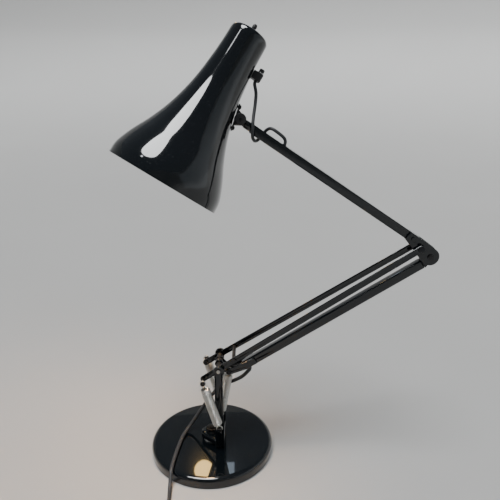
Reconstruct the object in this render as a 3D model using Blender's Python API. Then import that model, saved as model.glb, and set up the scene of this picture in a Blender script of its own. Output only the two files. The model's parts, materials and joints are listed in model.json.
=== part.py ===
"""Architect desk lamp: a round weighted base that turns under a fork, a sprung parallel lower arm, a single
upper arm and a bell shade. Lengths are in metres, +Z is up, and the base's centre on the table is the origin.
The arms lie in the plane Y = 0, with the elbow at +X. "Front" pieces are those at -Y."""

import math

import bmesh
import bpy
from mathutils import Matrix, Vector

MM = 0.001

# Clearances
GAP = 0.3 * MM
HOLE_CLEARANCE = 0.3 * MM

# Base
BASE_RADIUS = 90 * MM
BASE_HEIGHT = 16 * MM
BASE_EDGE = 6 * MM
BASE_WALL = 2.2 * MM
PAD_RADIUS = 84 * MM
PAD_THICKNESS = 2 * MM
PAD_GRIP = 1 * MM

# Swivel
SPINDLE_RADIUS = 5 * MM
SPINDLE_DEPTH = 10 * MM
BUSH_WALL = 2.4 * MM
BUSH_FLANGE = 13 * MM
BUSH_FLANGE_HEIGHT = 2 * MM
NUT_FLATS = 15 * MM
NUT_HEIGHT = 6 * MM

# Fork
FORK_X = 13 * MM
SADDLE_THICKNESS = 8 * MM
SADDLE_TIP = -15 * MM
SADDLE_TIP_WIDTH = 18 * MM
SADDLE_HEEL = 7 * MM
UPRIGHT_SPACING = 52 * MM
UPRIGHT_THICKNESS = 3 * MM
UPRIGHT_WIDTH = 12.6 * MM
UPRIGHT_NECK = 11.4 * MM
UPRIGHT_HEAD_RADIUS = 7.6 * MM
PIVOT_HEIGHT = 145.5 * MM
AXLE_RADIUS = 2.6 * MM
AXLE_SPACER_RADIUS = 3.9 * MM
ANCHOR_HEIGHT = 57 * MM
ANCHOR_X = 13.5 * MM
ANCHOR_RADIUS = 2.3 * MM

# Lower arm
LOWER_ARM_LENGTH = 321 * MM
LOWER_ARM_ANGLE = math.radians(33)
TAIL_LENGTH = 25.5 * MM
BAR_HEIGHT = 7.5 * MM
BAR_THICKNESS = 2 * MM
BAR_SPACING_AT_PIVOT = 42.6 * MM
BAR_SPACING_AT_ELBOW = 22.8 * MM
SPACER_DISTANCE = 25.2 * MM
SPACER_RADIUS = 2.6 * MM

# Crank and push tube
CRANK_LENGTH = 18.8 * MM
CRANK_ANGLE = math.radians(-42)
CRANK_THICKNESS = 2 * MM
CRANK_PIN_RADIUS = 1.9 * MM
LOWER_TUBE_WIDTH = 12 * MM
LOWER_TUBE_OFFSET = 4.8 * MM
TUBE_WALL = 1.2 * MM
LOWER_TUBE_START = 22 * MM
LOWER_TUBE_END_CUT = 13 * MM
CHEEK_THICKNESS = 1.6 * MM
CHEEK_REACH = 42 * MM
LUG_RADIUS = 5.8 * MM
LUG_DEPTH = 26 * MM

# Elbow and upper arm
UPPER_ARM_LENGTH = 289.4 * MM
UPPER_ARM_ANGLE = math.radians(146.3)
UPPER_TUBE_WIDTH = 11.5 * MM
UPPER_TUBE_OFFSET = 4.5 * MM
UPPER_TUBE_START = 8 * MM
UPPER_TUBE_SETBACK = 17.5 * MM
PLATE_THICKNESS = 1.8 * MM
PLATE_RADIUS = 12 * MM
PLATE_HEEL_RADIUS = 8 * MM
PLATE_REACH = 25 * MM
ELBOW_PIN_RADIUS = 2.2 * MM
LEAD_HOLE_FROM_KNUCKLE = 64 * MM

# Springs
SPRING_RADIUS = 6.75 * MM
SPRING_WALL = 1.8 * MM
SPRING_WIRE = 0.9 * MM
SPRING_EYE_RADIUS = 4.1 * MM
SPRING_EYE_LENGTH = 9 * MM
OUTER_SPRING_CLEARANCE = 0.25 * MM
PIN_COLLAR = 1.2 * MM

# Knuckle
STEM_RADIUS = 5.3 * MM
SPIGOT_RADIUS = 3.4 * MM
SPIGOT_LENGTH = 15 * MM
EYE_RADIUS = 4.5 * MM
EYE_THICKNESS = 5 * MM
EAR_RADIUS = 6.4 * MM
EAR_THICKNESS = 2 * MM
BOLT_RADIUS = 2 * MM
KNOB_RADIUS = 7.6 * MM
SHADE_ROLL = math.radians(14.7)
SHADE_TILT = math.radians(-1.6)

# Shade
SHADE_LENGTH = 211 * MM
SHADE_ABOVE_KNUCKLE = 96 * MM
KNUCKLE_STAND_OFF = 7.6294291 * MM
SHADE_MOUTH_RADIUS = 73.5 * MM
SHADE_CAP_RADIUS = 24.6 * MM
SHADE_CAP_EDGE = 5 * MM
SHADE_WALL = 1.2 * MM
BRACKET_LENGTH = 34 * MM
BRACKET_FOOT = 1.4 * MM
BRACKET_STAND_OFF = 1.1 * MM
BRACKET_SCREW_SPACING = 26.5 * MM
SCREW_HEAD_RADIUS = 2.9 * MM
GRIP_BELOW_CAP = 40 * MM
GRIP_REACH = 13 * MM
GRIP_HEIGHT = 10 * MM
GRIP_WIDTH = 11 * MM
GRIP_WASHER = 1 * MM
HOLDER_RADIUS = 17 * MM
HOLDER_LENGTH = 60 * MM
SOCKET_DEPTH = 26 * MM
BULB_RADIUS = 29 * MM
BULB_LENGTH = 106 * MM
BULB_CAP_RADIUS = 12.6 * MM
BULB_WALL = 1 * MM
SWITCH_NECK_RADIUS = 3.4 * MM
BUTTON_RADIUS = 2.5 * MM
BUTTON_STANDS = 5.5 * MM

# Mains cord, plug and shade lead
CORD_RADIUS = 2.7 * MM
LEAD_RADIUS = 2.1 * MM
COIL_MIDDLE_RADIUS = 31.8 * MM
COIL_SPREAD = 4.6 * MM
COIL_HALF_WIDTH = COIL_SPREAD + CORD_RADIUS + 0.2 * MM
COIL_BOTTOM = 1.0 * MM
COIL_TOP = 23.0 * MM
COIL_CENTRE = Vector((-13.5 * MM, -176 * MM, 0))
TIE_THICKNESS = 0.6 * MM
TIE_WIDTH = 7 * MM
CORD_EXIT = 26.5 * MM
PLUG_SIZE = (26 * MM, 34 * MM, 13.6 * MM)
PLUG_PIN_RADIUS = 2 * MM
PLUG_PIN_LENGTH = 19 * MM
PLUG_PIN_SPACING = 19 * MM

# Places that follow from the sizes
PIVOT = Vector((FORK_X, 0, PIVOT_HEIGHT))
ANCHOR = Vector((ANCHOR_X, 0, ANCHOR_HEIGHT))
LOWER_ALONG = Vector((math.cos(LOWER_ARM_ANGLE), 0, math.sin(LOWER_ARM_ANGLE)))
LOWER_UP = Vector((-LOWER_ALONG.z, 0, LOWER_ALONG.x))
CRANK_ALONG = Vector((math.cos(CRANK_ANGLE), 0, math.sin(CRANK_ANGLE)))
CRANK_PIN = PIVOT + CRANK_ALONG * CRANK_LENGTH
ELBOW = PIVOT + LOWER_ALONG * LOWER_ARM_LENGTH
PUSH_PIN = ELBOW + CRANK_ALONG * CRANK_LENGTH
TAIL = PIVOT - LOWER_ALONG * TAIL_LENGTH
UPPER_ALONG = Vector((math.cos(UPPER_ARM_ANGLE), 0, math.sin(UPPER_ARM_ANGLE)))
UPPER_TOP = Vector((UPPER_ALONG.z, 0, -UPPER_ALONG.x))
UPPER_AXIS = ELBOW + UPPER_TOP * UPPER_TUBE_OFFSET
KNUCKLE = UPPER_AXIS + UPPER_ALONG * UPPER_ARM_LENGTH
TUBE_END = UPPER_ARM_LENGTH - UPPER_TUBE_SETBACK
SADDLE_BOTTOM = BASE_HEIGHT + BUSH_FLANGE_HEIGHT + 2 * MM
SADDLE_TOP = SADDLE_BOTTOM + SADDLE_THICKNESS
UPRIGHT_INNER = (UPRIGHT_SPACING - UPRIGHT_THICKNESS) / 2
UPRIGHT_OUTER = (UPRIGHT_SPACING + UPRIGHT_THICKNESS) / 2
CRANK_OUTER = LOWER_TUBE_WIDTH / 2
CRANK_INNER = CRANK_OUTER - CRANK_THICKNESS
CHEEK_INNER = LOWER_TUBE_WIDTH / 2 + GAP
CHEEK_OUTER = CHEEK_INNER + CHEEK_THICKNESS
PLATE_INNER = LOWER_TUBE_WIDTH / 2 + GAP
PLATE_OUTER = PLATE_INNER + PLATE_THICKNESS
OUTER_SPRING_Y = UPRIGHT_OUTER + SPRING_RADIUS + OUTER_SPRING_CLEARANCE
PIN_OUTER = OUTER_SPRING_Y + SPRING_WIRE + GAP

BLACK = (0.012, 0.014, 0.016)
GREY = (0.30, 0.30, 0.29)
STEEL = (0.62, 0.62, 0.60)
SHADOW = (0.03, 0.03, 0.032)

SIDES = (("front", -1), ("rear", 1))


def material(name, colour, rough, metallic):
    made = bpy.data.materials.new(name)
    made.use_nodes = True
    shader = made.node_tree.nodes["Principled BSDF"]
    shader.inputs["Base Color"].default_value = (*colour, 1)
    shader.inputs["Roughness"].default_value = rough
    shader.inputs["Metallic"].default_value = metallic
    return made


def piece(name, shape, pivot, finish, helper=False):
    """Makes an object from a mesh drawn in world places. Its origin goes to its pivot."""
    bmesh.ops.remove_doubles(shape, verts=shape.verts, dist=1e-7)
    bmesh.ops.dissolve_degenerate(shape, edges=shape.edges, dist=1e-7)
    bmesh.ops.recalc_face_normals(shape, faces=shape.faces)
    bmesh.ops.translate(shape, verts=shape.verts, vec=-Vector(pivot))
    mesh = bpy.data.meshes.new(name)
    shape.to_mesh(mesh)
    shape.free()
    made = bpy.data.objects.new(name, mesh)
    made.location = pivot
    bpy.context.collection.objects.link(made)
    if helper:
        made.hide_render = True
        made.display_type = "WIRE"
    else:
        mesh.shade_smooth()
        mesh.set_sharp_from_angle(angle=math.radians(35))
        mesh.materials.append(material(name, *finish))
    return made


ENAMEL = (BLACK, 0.15, 0.0)
ZINC = (STEEL, 0.3, 1.0)
NYLON = (GREY, 0.5, 0.0)
PLASTIC = (SHADOW, 0.45, 0.0)


def frame_at(place, along, up):
    """A matrix whose Z runs along and whose X leans towards up."""
    z = Vector(along).normalized()
    x = (Vector(up) - z * z.dot(Vector(up))).normalized()
    y = z.cross(x)
    turn = Matrix((x, y, z)).transposed().to_4x4()
    return Matrix.Translation(place) @ turn


def turned(profile, place=(0, 0, 0), along=(0, 0, 1), steps=24):
    """A solid of revolution: (radius, height) points, closed through the axis or back to the first point."""
    shape = bmesh.new()
    dots = [shape.verts.new((radius, 0, height)) for radius, height in profile]
    lines = [shape.edges.new(pair) for pair in zip(dots, dots[1:])]
    if profile[0][0] > 0 or profile[-1][0] > 0:
        lines.append(shape.edges.new((dots[-1], dots[0])))
    bmesh.ops.spin(
        shape, geom=dots + lines, cent=(0, 0, 0), axis=(0, 0, 1), angle=math.tau, steps=steps, use_merge=True
    )
    bmesh.ops.remove_doubles(shape, verts=shape.verts, dist=1e-7)
    up = (1, 0, 0) if abs(Vector(along).normalized().x) < 0.9 else (0, 0, 1)
    shape.transform(frame_at(place, along, up))
    return shape


def rod(radius, start, end, steps=16):
    """A plain round bar between two places."""
    start, end = Vector(start), Vector(end)
    length = (end - start).length
    return turned([(0, 0), (radius, 0), (radius, length), (0, length)], start, end - start, steps)


def cross_rod(profile, place, steps=16):
    """A rod along Y through a place, from (radius, y) steps."""
    return turned(profile, place, (0, 1, 0), steps)


def stepped(*lengths):
    """Profile of a rod with steps: (radius, from, to) rows in order along it."""
    points = [(0, lengths[0][1])]
    for radius, low, high in lengths:
        points += [(radius, low), (radius, high)]
    return points + [(0, lengths[-1][2])]


def sleeve(outer, inner, low, high):
    return [(outer, low), (outer, high), (inner, high), (inner, low)]


def prism(outline, low, high, place=Matrix()):
    """An outline in the XY plane, extruded from low to high along Z, then placed."""
    shape = bmesh.new()
    bottom = [shape.verts.new((x, y, low)) for x, y in outline]
    face = shape.faces.new(bottom)
    grown = bmesh.ops.extrude_face_region(shape, geom=[face])
    top = [item for item in grown["geom"] if isinstance(item, bmesh.types.BMVert)]
    bmesh.ops.translate(shape, verts=top, vec=(0, 0, high - low))
    shape.transform(place)
    return shape


# Outlines drawn in (X, Z) stand upright, and their thickness runs along Y.
UPRIGHT = Matrix(((1, 0, 0, 0), (0, 0, -1, 0), (0, 1, 0, 0), (0, 0, 0, 1)))


def plate(outline, near, far):
    """A flat plate in the arms' plane, from Y = near to Y = far."""
    return prism(outline, -far, -near, UPRIGHT)


def circle(centre, radius, steps=20):
    turns = (math.tau * index / steps for index in range(steps))
    return [(centre[0] + radius * math.cos(turn), centre[1] + radius * math.sin(turn)) for turn in turns]


def hull(points):
    """The convex outline round some points, anticlockwise."""
    points = sorted(set(points))

    def half(line):
        kept = []
        for dot in line:
            while len(kept) > 1 and turn(kept[-2], kept[-1], dot) <= 1e-12:
                kept.pop()
            kept.append(dot)
        return kept[:-1]

    def turn(a, b, c):
        return (b[0] - a[0]) * (c[1] - a[1]) - (b[1] - a[1]) * (c[0] - a[0])

    return half(points) + half(points[::-1])


def flat(place):
    return place.x, place.z


def band(start, along, up, first, last, low, high):
    """Four corners of a strip in the arms' plane, in steps along and up from a start."""
    return [flat(start + along * a + up * b) for a in (first, last) for b in (low, high)]


def mirrored(side, near, far):
    """The Y range of a piece on one side."""
    return (near, far) if side > 0 else (-far, -near)


def cut(target, cutter, kind="DIFFERENCE"):
    step = target.modifiers.new(cutter.name, "BOOLEAN")
    step.operation = kind
    step.solver = "EXACT"
    step.object = cutter


def drill(target, place, radius, reach=60 * MM, along=(0, 1, 0)):
    """Cuts a round hole for a pin of this radius, with its clearance."""
    half = Vector(along).normalized() * reach / 2
    shape = rod(radius + HOLE_CLEARANCE, Vector(place) - half, Vector(place) + half, 20)
    cut(target, piece("hole_" + target.name + "_" + str(len(target.modifiers)), shape, (0, 0, 0), None, True))


def soften(target, width=0.4 * MM):
    step = target.modifiers.new("edge", "BEVEL")
    step.width = width
    step.segments = 1
    step.limit_method = "ANGLE"
    step.angle_limit = math.radians(50)


def join(target, shape):
    helper = piece("join_" + target.name + "_" + str(len(target.modifiers)), shape, (0, 0, 0), None, True)
    cut(target, helper, "UNION")


def arc(centre, radius, first, last, steps):
    """Points of an arc, in degrees."""
    turns = (math.radians(first + (last - first) * index / steps) for index in range(steps + 1))
    return [(centre[0] + radius * math.cos(turn), centre[1] + radius * math.sin(turn)) for turn in turns]


def smooth_curve(points, spacing):
    """Evenly spaced points on a smooth curve through the given ones."""
    points = [Vector(point) for point in points]
    ends = [points[0] * 2 - points[1]] + points + [points[-1] * 2 - points[-2]]
    fine = []
    for a, b, c, d in zip(ends, ends[1:], ends[2:], ends[3:]):
        for index in range(24):
            t = index / 24
            fine.append(
                (b * 2 + (c - a) * t + (a * 2 - b * 5 + c * 4 - d) * t**2 + (b * 3 - a - c * 3 + d) * t**3) / 2
            )
    fine.append(points[-1])
    lengths = [0]
    for a, b in zip(fine, fine[1:]):
        lengths.append(lengths[-1] + (b - a).length)
    count = max(2, round(lengths[-1] / spacing))
    placed = []
    index = 0
    for step in range(count + 1):
        want = lengths[-1] * step / count
        while index < len(fine) - 2 and lengths[index + 1] < want:
            index += 1
        share = (want - lengths[index]) / (lengths[index + 1] - lengths[index])
        placed.append(fine[index].lerp(fine[index + 1], min(1, max(0, share))))
    return placed


def cord(name, points, radius, pivot, finish, resolution):
    data = bpy.data.curves.new(name, "CURVE")
    data.dimensions = "3D"
    data.bevel_depth = radius
    data.bevel_resolution = resolution
    data.use_fill_caps = True
    spline = data.splines.new("POLY")
    spline.points.add(len(points) - 1)
    for dot, place in zip(spline.points, points):
        dot.co = (*(place - Vector(pivot)), 1)
    data.materials.append(material(name, *finish))
    made = bpy.data.objects.new(name, data)
    made.location = pivot
    bpy.context.collection.objects.link(made)


def make_base():
    top = BASE_HEIGHT
    outer = arc((BASE_RADIUS - BASE_EDGE, top - BASE_EDGE), BASE_EDGE, 0, 90, 5)
    inner_edge = BASE_EDGE - BASE_WALL
    inner = arc((BASE_RADIUS - BASE_EDGE, top - BASE_EDGE), inner_edge, 90, 0, 3)
    bore = SPINDLE_RADIUS + BUSH_WALL + 2 * GAP
    shell = [(BASE_RADIUS, PAD_GRIP)] + outer + [(bore, top), (bore, top - BASE_WALL)] + inner
    shell.append((BASE_RADIUS - BASE_WALL, PAD_GRIP))
    piece("base_shell", turned(shell, steps=72), (0, 0, 0), ENAMEL)
    rim = BASE_RADIUS - BASE_WALL - GAP
    ceiling = top - BASE_WALL - GAP
    weight = [(bore, PAD_THICKNESS + GAP), (rim, PAD_THICKNESS + GAP), (rim, top - BASE_EDGE)]
    weight += [(BASE_RADIUS - BASE_EDGE, ceiling), (bore, ceiling)]
    piece("base_weight", turned(weight, steps=48), (0, 0, 0), (SHADOW, 0.8, 1.0))
    pad = [(0, 0), (PAD_RADIUS, 0), (PAD_RADIUS, PAD_THICKNESS), (0, PAD_THICKNESS)]
    piece("base_pad", turned(pad, steps=48), (0, 0, 0), (SHADOW, 0.95, 0.0))
    outer_wall = SPINDLE_RADIUS + BUSH_WALL
    flange_top = top + GAP + BUSH_FLANGE_HEIGHT
    inner_wall = SPINDLE_RADIUS + HOLE_CLEARANCE
    bush = [(inner_wall, PAD_THICKNESS + GAP), (outer_wall, PAD_THICKNESS + GAP), (outer_wall, top + GAP)]
    bush += [(BUSH_FLANGE, top + GAP), (BUSH_FLANGE, flange_top), (inner_wall, flange_top)]
    piece("swivel_bush", turned(bush), (0, 0, 0), NYLON)


def make_fork():
    low = BASE_HEIGHT - SPINDLE_DEPTH
    shoulder = BASE_HEIGHT + BUSH_FLANGE_HEIGHT + 2 * GAP
    head = SADDLE_TOP + GAP + NUT_HEIGHT + 2 * MM
    collar = SPINDLE_RADIUS + 3 * MM
    spindle = stepped(
        (SPINDLE_RADIUS, low, shoulder),
        (collar, shoulder, SADDLE_BOTTOM - GAP),
        (SPINDLE_RADIUS - 1 * MM, SADDLE_BOTTOM - GAP, head),
    )
    piece("swivel_spindle", turned(spindle), (0, 0, 0), ZINC)
    corner = NUT_FLATS / math.sqrt(3)
    hexagon = circle((0, 0), corner, 6)
    nut = piece("swivel_nut", prism(hexagon, SADDLE_TOP + GAP, SADDLE_TOP + GAP + NUT_HEIGHT), (0, 0, 0), ZINC)
    drill(nut, (0, 0, SADDLE_TOP), SPINDLE_RADIUS - 1 * MM, 40 * MM, (0, 0, 1))
    half = UPRIGHT_INNER - GAP
    tip = SADDLE_TIP_WIDTH / 2
    end = FORK_X + UPRIGHT_WIDTH / 2
    outline = [(SADDLE_TIP + 3 * MM, -tip), (SADDLE_HEEL, -half), (end, -half), (end, half), (SADDLE_HEEL, half)]
    outline += [(SADDLE_TIP + 3 * MM, tip), (SADDLE_TIP, tip - 3 * MM), (SADDLE_TIP, 3 * MM - tip)]
    saddle = piece("saddle", prism(outline, SADDLE_BOTTOM, SADDLE_TOP), (0, 0, 0), ENAMEL)
    soften(saddle, 0.8 * MM)
    drill(saddle, (0, 0, SADDLE_TOP), SPINDLE_RADIUS - 1 * MM, 40 * MM, (0, 0, 1))
    for side_name, side in SIDES:
        near, far = mirrored(side, UPRIGHT_INNER, UPRIGHT_OUTER)
        foot = UPRIGHT_WIDTH / 2
        neck = UPRIGHT_NECK / 2
        neck_height = PIVOT_HEIGHT - UPRIGHT_HEAD_RADIUS * 1.6
        reach = math.asin(neck / UPRIGHT_HEAD_RADIUS)
        first = -90 + math.degrees(reach)
        head_arc = arc((FORK_X, PIVOT_HEIGHT), UPRIGHT_HEAD_RADIUS, first, 180 - first, 14)
        outline = [(FORK_X - foot, SADDLE_BOTTOM), (FORK_X + foot, SADDLE_BOTTOM)]
        outline += [(FORK_X + foot, ANCHOR_HEIGHT + 12 * MM), (FORK_X + neck, neck_height)]
        outline += head_arc
        outline += [(FORK_X - neck, neck_height), (FORK_X - foot, ANCHOR_HEIGHT + 12 * MM)]
        upright = piece("upright_" + side_name, plate(outline, near, far), (0, 0, 0), ENAMEL)
        soften(upright)
        drill(upright, PIVOT, AXLE_RADIUS, 90 * MM)
        drill(upright, ANCHOR, ANCHOR_RADIUS, 90 * MM)
        spacer_low = CRANK_OUTER + GAP
        spacer_high = (BAR_SPACING_AT_PIVOT - BAR_THICKNESS) / 2 - 0.6 * MM
        spacer = sleeve(AXLE_SPACER_RADIUS, AXLE_RADIUS + GAP, *mirrored(side, spacer_low, spacer_high))
        piece("axle_spacer_" + side_name, cross_rod(spacer, PIVOT), PIVOT, (SHADOW, 0.4, 0.3))
    end = UPRIGHT_OUTER + 1.0 * MM
    piece("main_axle", cross_rod(stepped((AXLE_RADIUS, -end, end)), PIVOT), PIVOT, ZINC)
    collar = ANCHOR_RADIUS + 1.6 * MM
    rows = stepped(
        (collar, -PIN_OUTER - PIN_COLLAR, -PIN_OUTER),
        (ANCHOR_RADIUS, -PIN_OUTER, PIN_OUTER),
        (collar, PIN_OUTER, PIN_OUTER + PIN_COLLAR),
    )
    piece("anchor_axle", cross_rod(rows, ANCHOR), ANCHOR, ENAMEL)


def bar_half_spacing(distance):
    """Half the space between the bars' middles, at a distance from the main axle."""
    share = distance / LOWER_ARM_LENGTH
    return (BAR_SPACING_AT_PIVOT * (1 - share) + BAR_SPACING_AT_ELBOW * share) / 2


def make_lower_arm():
    half = BAR_HEIGHT / 2
    for side_name, side in SIDES:
        ends = ((-TAIL_LENGTH, half + 0.6 * MM), (0, half), (LOWER_ARM_LENGTH, half + 0.8 * MM))
        outline = hull([dot for place, radius in ends for dot in circle((place, 0), radius, 24)])
        bar = prism(outline, -BAR_THICKNESS / 2, BAR_THICKNESS / 2)
        for dot in bar.verts:
            dot.co.z += bar_half_spacing(dot.co.x)
        flip = Matrix.Diagonal((1, 1, side, 1))
        turn = Matrix((LOWER_ALONG, LOWER_UP, Vector((0, 1, 0)))).transposed().to_4x4()
        bar.transform(Matrix.Translation(PIVOT) @ turn @ flip)
        bar = piece("link_bar_" + side_name, bar, PIVOT, ENAMEL)
        soften(bar, 0.5 * MM)
        drill(bar, PIVOT, AXLE_RADIUS, 90 * MM)
        drill(bar, ELBOW, ELBOW_PIN_RADIUS)
        drill(bar, PIVOT + LOWER_ALONG * SPACER_DISTANCE, 1.4 * MM)
        drill(bar, TAIL, CRANK_PIN_RADIUS, 90 * MM)
        bar_y = bar_half_spacing(-TAIL_LENGTH)
        inner = bar_y - BAR_THICKNESS / 2 - 0.6 * MM
        collar = CRANK_PIN_RADIUS + 1.5 * MM
        rows = [(collar, inner - 1 * MM, inner), (CRANK_PIN_RADIUS, inner, PIN_OUTER)]
        rows.append((collar, PIN_OUTER, PIN_OUTER + PIN_COLLAR))
        if side < 0:
            rows = [(radius, -high, -low) for radius, low, high in reversed(rows)]
        piece("tail_pin_" + side_name, cross_rod(stepped(*rows), TAIL), PIVOT, ZINC)
    spot = PIVOT + LOWER_ALONG * SPACER_DISTANCE
    face = bar_half_spacing(SPACER_DISTANCE) - BAR_THICKNESS / 2 - 0.4 * MM
    outside = face + BAR_THICKNESS + 0.8 * MM
    rows = stepped(
        (3.2 * MM, -outside - 1.6 * MM, -outside),
        (1.4 * MM, -outside, -face),
        (SPACER_RADIUS, -face, face),
        (1.4 * MM, face, outside),
        (3.2 * MM, outside, outside + 1.6 * MM),
    )
    piece("bar_spacer", cross_rod(rows, spot), PIVOT, NYLON)


def make_elbow():
    bar_out = (BAR_SPACING_AT_ELBOW + BAR_THICKNESS) / 2 + 0.5 * MM
    washer_low = PLATE_OUTER + 0.4 * MM
    washer_high = (BAR_SPACING_AT_ELBOW - BAR_THICKNESS) / 2 - 0.5 * MM
    collar = ELBOW_PIN_RADIUS + 1.8 * MM
    rows = stepped(
        (collar, -bar_out - 1.4 * MM, -bar_out),
        (ELBOW_PIN_RADIUS, -bar_out, -washer_high),
        (collar, -washer_high, -washer_low),
        (ELBOW_PIN_RADIUS, -washer_low, washer_low),
        (collar, washer_low, washer_high),
        (ELBOW_PIN_RADIUS, washer_high, bar_out),
        (collar, bar_out, bar_out + 1.4 * MM),
    )
    piece("elbow_pin", cross_rod(rows, ELBOW), ELBOW, ZINC)
    rows = stepped(
        (3.5 * MM, -PLATE_OUTER - GAP - 1.2 * MM, -PLATE_OUTER - GAP),
        (CRANK_PIN_RADIUS, -PLATE_OUTER - GAP, PLATE_OUTER + GAP),
        (3.5 * MM, PLATE_OUTER + GAP, PLATE_OUTER + GAP + 1.2 * MM),
    )
    piece("push_pin", cross_rod(rows, PUSH_PIN), ELBOW, ZINC)
    half = UPPER_TUBE_WIDTH / 2
    rivet_spot = UPPER_AXIS + UPPER_ALONG * (UPPER_TUBE_START + PLATE_REACH) / 2
    for side_name, side in SIDES:
        corners = band(UPPER_AXIS, UPPER_ALONG, UPPER_TOP, 0, PLATE_REACH, -half, half)
        outline = hull(corners + circle(flat(PUSH_PIN), PLATE_RADIUS, 28) + circle(flat(ELBOW), PLATE_HEEL_RADIUS, 20))
        made = plate(outline, *mirrored(side, PLATE_INNER, PLATE_OUTER))
        made = piece("elbow_plate_" + side_name, made, ELBOW, ENAMEL)
        soften(made)
        drill(made, ELBOW, ELBOW_PIN_RADIUS)
        drill(made, PUSH_PIN, CRANK_PIN_RADIUS)
        drill(made, rivet_spot, 1.5 * MM)
    outside = PLATE_OUTER + GAP
    rows = stepped(
        (2.4 * MM, -outside - 0.8 * MM, -outside),
        (1.5 * MM, -outside, outside),
        (2.4 * MM, outside, outside + 0.8 * MM),
    )
    piece("elbow_rivet", cross_rod(rows, rivet_spot), ELBOW, ENAMEL)
    return rivet_spot


def square_tube(name, start, along, up, first, last, width, pivot):
    """A hollow square tube along a line, its corners slightly rounded."""
    side = width / 2
    place = frame_at(start, along, up)
    outline = [(-side, -side), (side, -side), (side, side), (-side, side)]
    made = piece(name, prism(outline, first, last, place), pivot, ENAMEL)
    soften(made, 1.0 * MM)
    bore = side - TUBE_WALL
    outline = [(-bore, -bore), (bore, -bore), (bore, bore), (-bore, bore)]
    inside = prism(outline, first - 5 * MM, last + 5 * MM, place)
    cut(made, piece("bore_" + name, inside, (0, 0, 0), None, True))
    return made


def make_upper_arm(rivet_spot):
    tube = square_tube(
        "upper_tube", UPPER_AXIS, UPPER_ALONG, UPPER_TOP, UPPER_TUBE_START, TUBE_END, UPPER_TUBE_WIDTH, ELBOW
    )
    drill(tube, rivet_spot, 1.5 * MM)
    hole = KNUCKLE - UPPER_ALONG * LEAD_HOLE_FROM_KNUCKLE + UPPER_TOP * UPPER_TUBE_WIDTH / 2
    drill(tube, hole, LEAD_RADIUS + 1.2 * MM, UPPER_TUBE_WIDTH, UPPER_TOP)
    side = UPPER_TUBE_WIDTH / 2 - TUBE_WALL - GAP
    outline = [(-side, -side), (side, -side), (side, side), (-side, side)]
    place = frame_at(UPPER_AXIS, UPPER_ALONG, UPPER_TOP)
    plug = prism(outline, TUBE_END - SPIGOT_LENGTH - 4 * MM, TUBE_END - GAP, place)
    plug = piece("arm_end_plug", plug, ELBOW, PLASTIC)
    drill(plug, UPPER_AXIS + UPPER_ALONG * TUBE_END, SPIGOT_RADIUS, 80 * MM, UPPER_ALONG)


def make_crank():
    for side_name, side in SIDES:
        outline = hull(circle(flat(PIVOT), 6.2 * MM) + circle(flat(CRANK_PIN), 4.6 * MM))
        made = plate(outline, *mirrored(side, CRANK_INNER, CRANK_OUTER))
        made = piece("crank_plate_" + side_name, made, PIVOT, ENAMEL)
        soften(made)
        drill(made, PIVOT, AXLE_RADIUS)
        drill(made, CRANK_PIN, CRANK_PIN_RADIUS)
    hub = sleeve(5.2 * MM, AXLE_RADIUS + GAP, GAP - CRANK_INNER, CRANK_INNER - GAP)
    piece("crank_hub", cross_rod(hub, PIVOT), PIVOT, PLASTIC)
    outside = CHEEK_OUTER + GAP
    rows = stepped(
        (3.1 * MM, -outside - 1 * MM, -outside),
        (CRANK_PIN_RADIUS, -outside, outside),
        (3.1 * MM, outside, outside + 1 * MM),
    )
    piece("crank_pin", cross_rod(rows, CRANK_PIN), CRANK_PIN, ZINC)


def make_push_tube():
    start = CRANK_PIN - LOWER_UP * LOWER_TUBE_OFFSET
    last = LOWER_ARM_LENGTH - LOWER_TUBE_END_CUT
    tube = square_tube(
        "lower_tube", start, LOWER_ALONG, LOWER_UP, LOWER_TUBE_START, last, LOWER_TUBE_WIDTH, CRANK_PIN
    )
    under = start + LOWER_ALONG * CORD_EXIT - LOWER_UP * LOWER_TUBE_WIDTH / 2
    drill(tube, under, CORD_RADIUS + 1.4 * MM, LOWER_TUBE_WIDTH, LOWER_UP)
    wall = LOWER_TUBE_WIDTH / 2 - TUBE_WALL
    for side_name, side in SIDES:
        half = LOWER_TUBE_WIDTH / 2 - 1 * MM
        corners = band(start, LOWER_ALONG, LOWER_UP, LOWER_TUBE_START + 2 * MM, CHEEK_REACH, -half, half)
        outline = hull(corners + circle(flat(CRANK_PIN), 4.4 * MM))
        made = plate(outline, *mirrored(side, CHEEK_INNER, CHEEK_OUTER))
        made = piece("tube_cheek_" + side_name, made, CRANK_PIN, ENAMEL)
        soften(made)
        drill(made, CRANK_PIN, CRANK_PIN_RADIUS)
    side = wall - GAP
    corners = band(start, LOWER_ALONG, LOWER_UP, LOWER_ARM_LENGTH - LUG_DEPTH, last + GAP, -side, side)
    inside = plate(hull(corners), -side, side)
    lug = piece("tube_lug", inside, CRANK_PIN, PLASTIC)
    width = PLATE_INNER - GAP
    corners = band(start, LOWER_ALONG, LOWER_UP, last + GAP, last + 1.5 * MM, GAP - width, width - GAP)
    join(lug, plate(hull(corners + circle(flat(PUSH_PIN), LUG_RADIUS)), -width, width))
    drill(lug, PUSH_PIN, CRANK_PIN_RADIUS)
    grommet = [
        (CORD_RADIUS + 2 * GAP, -0.4 * MM),
        (CORD_RADIUS + 1.4 * MM, -0.4 * MM),
        (CORD_RADIUS + 1.4 * MM, TUBE_WALL),
        (CORD_RADIUS + 1.4 * MM, TUBE_WALL + GAP),
        (CORD_RADIUS + 2.0 * MM, TUBE_WALL + GAP),
        (CORD_RADIUS + 1.5 * MM, TUBE_WALL + 2 * MM),
        (CORD_RADIUS + 2 * GAP, TUBE_WALL + 2 * MM),
    ]
    place = under + LOWER_UP * TUBE_WALL
    piece("cord_grommet", turned(grommet, place, -LOWER_UP, 20), CRANK_PIN, (SHADOW, 0.7, 0.0))
    return under


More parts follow.
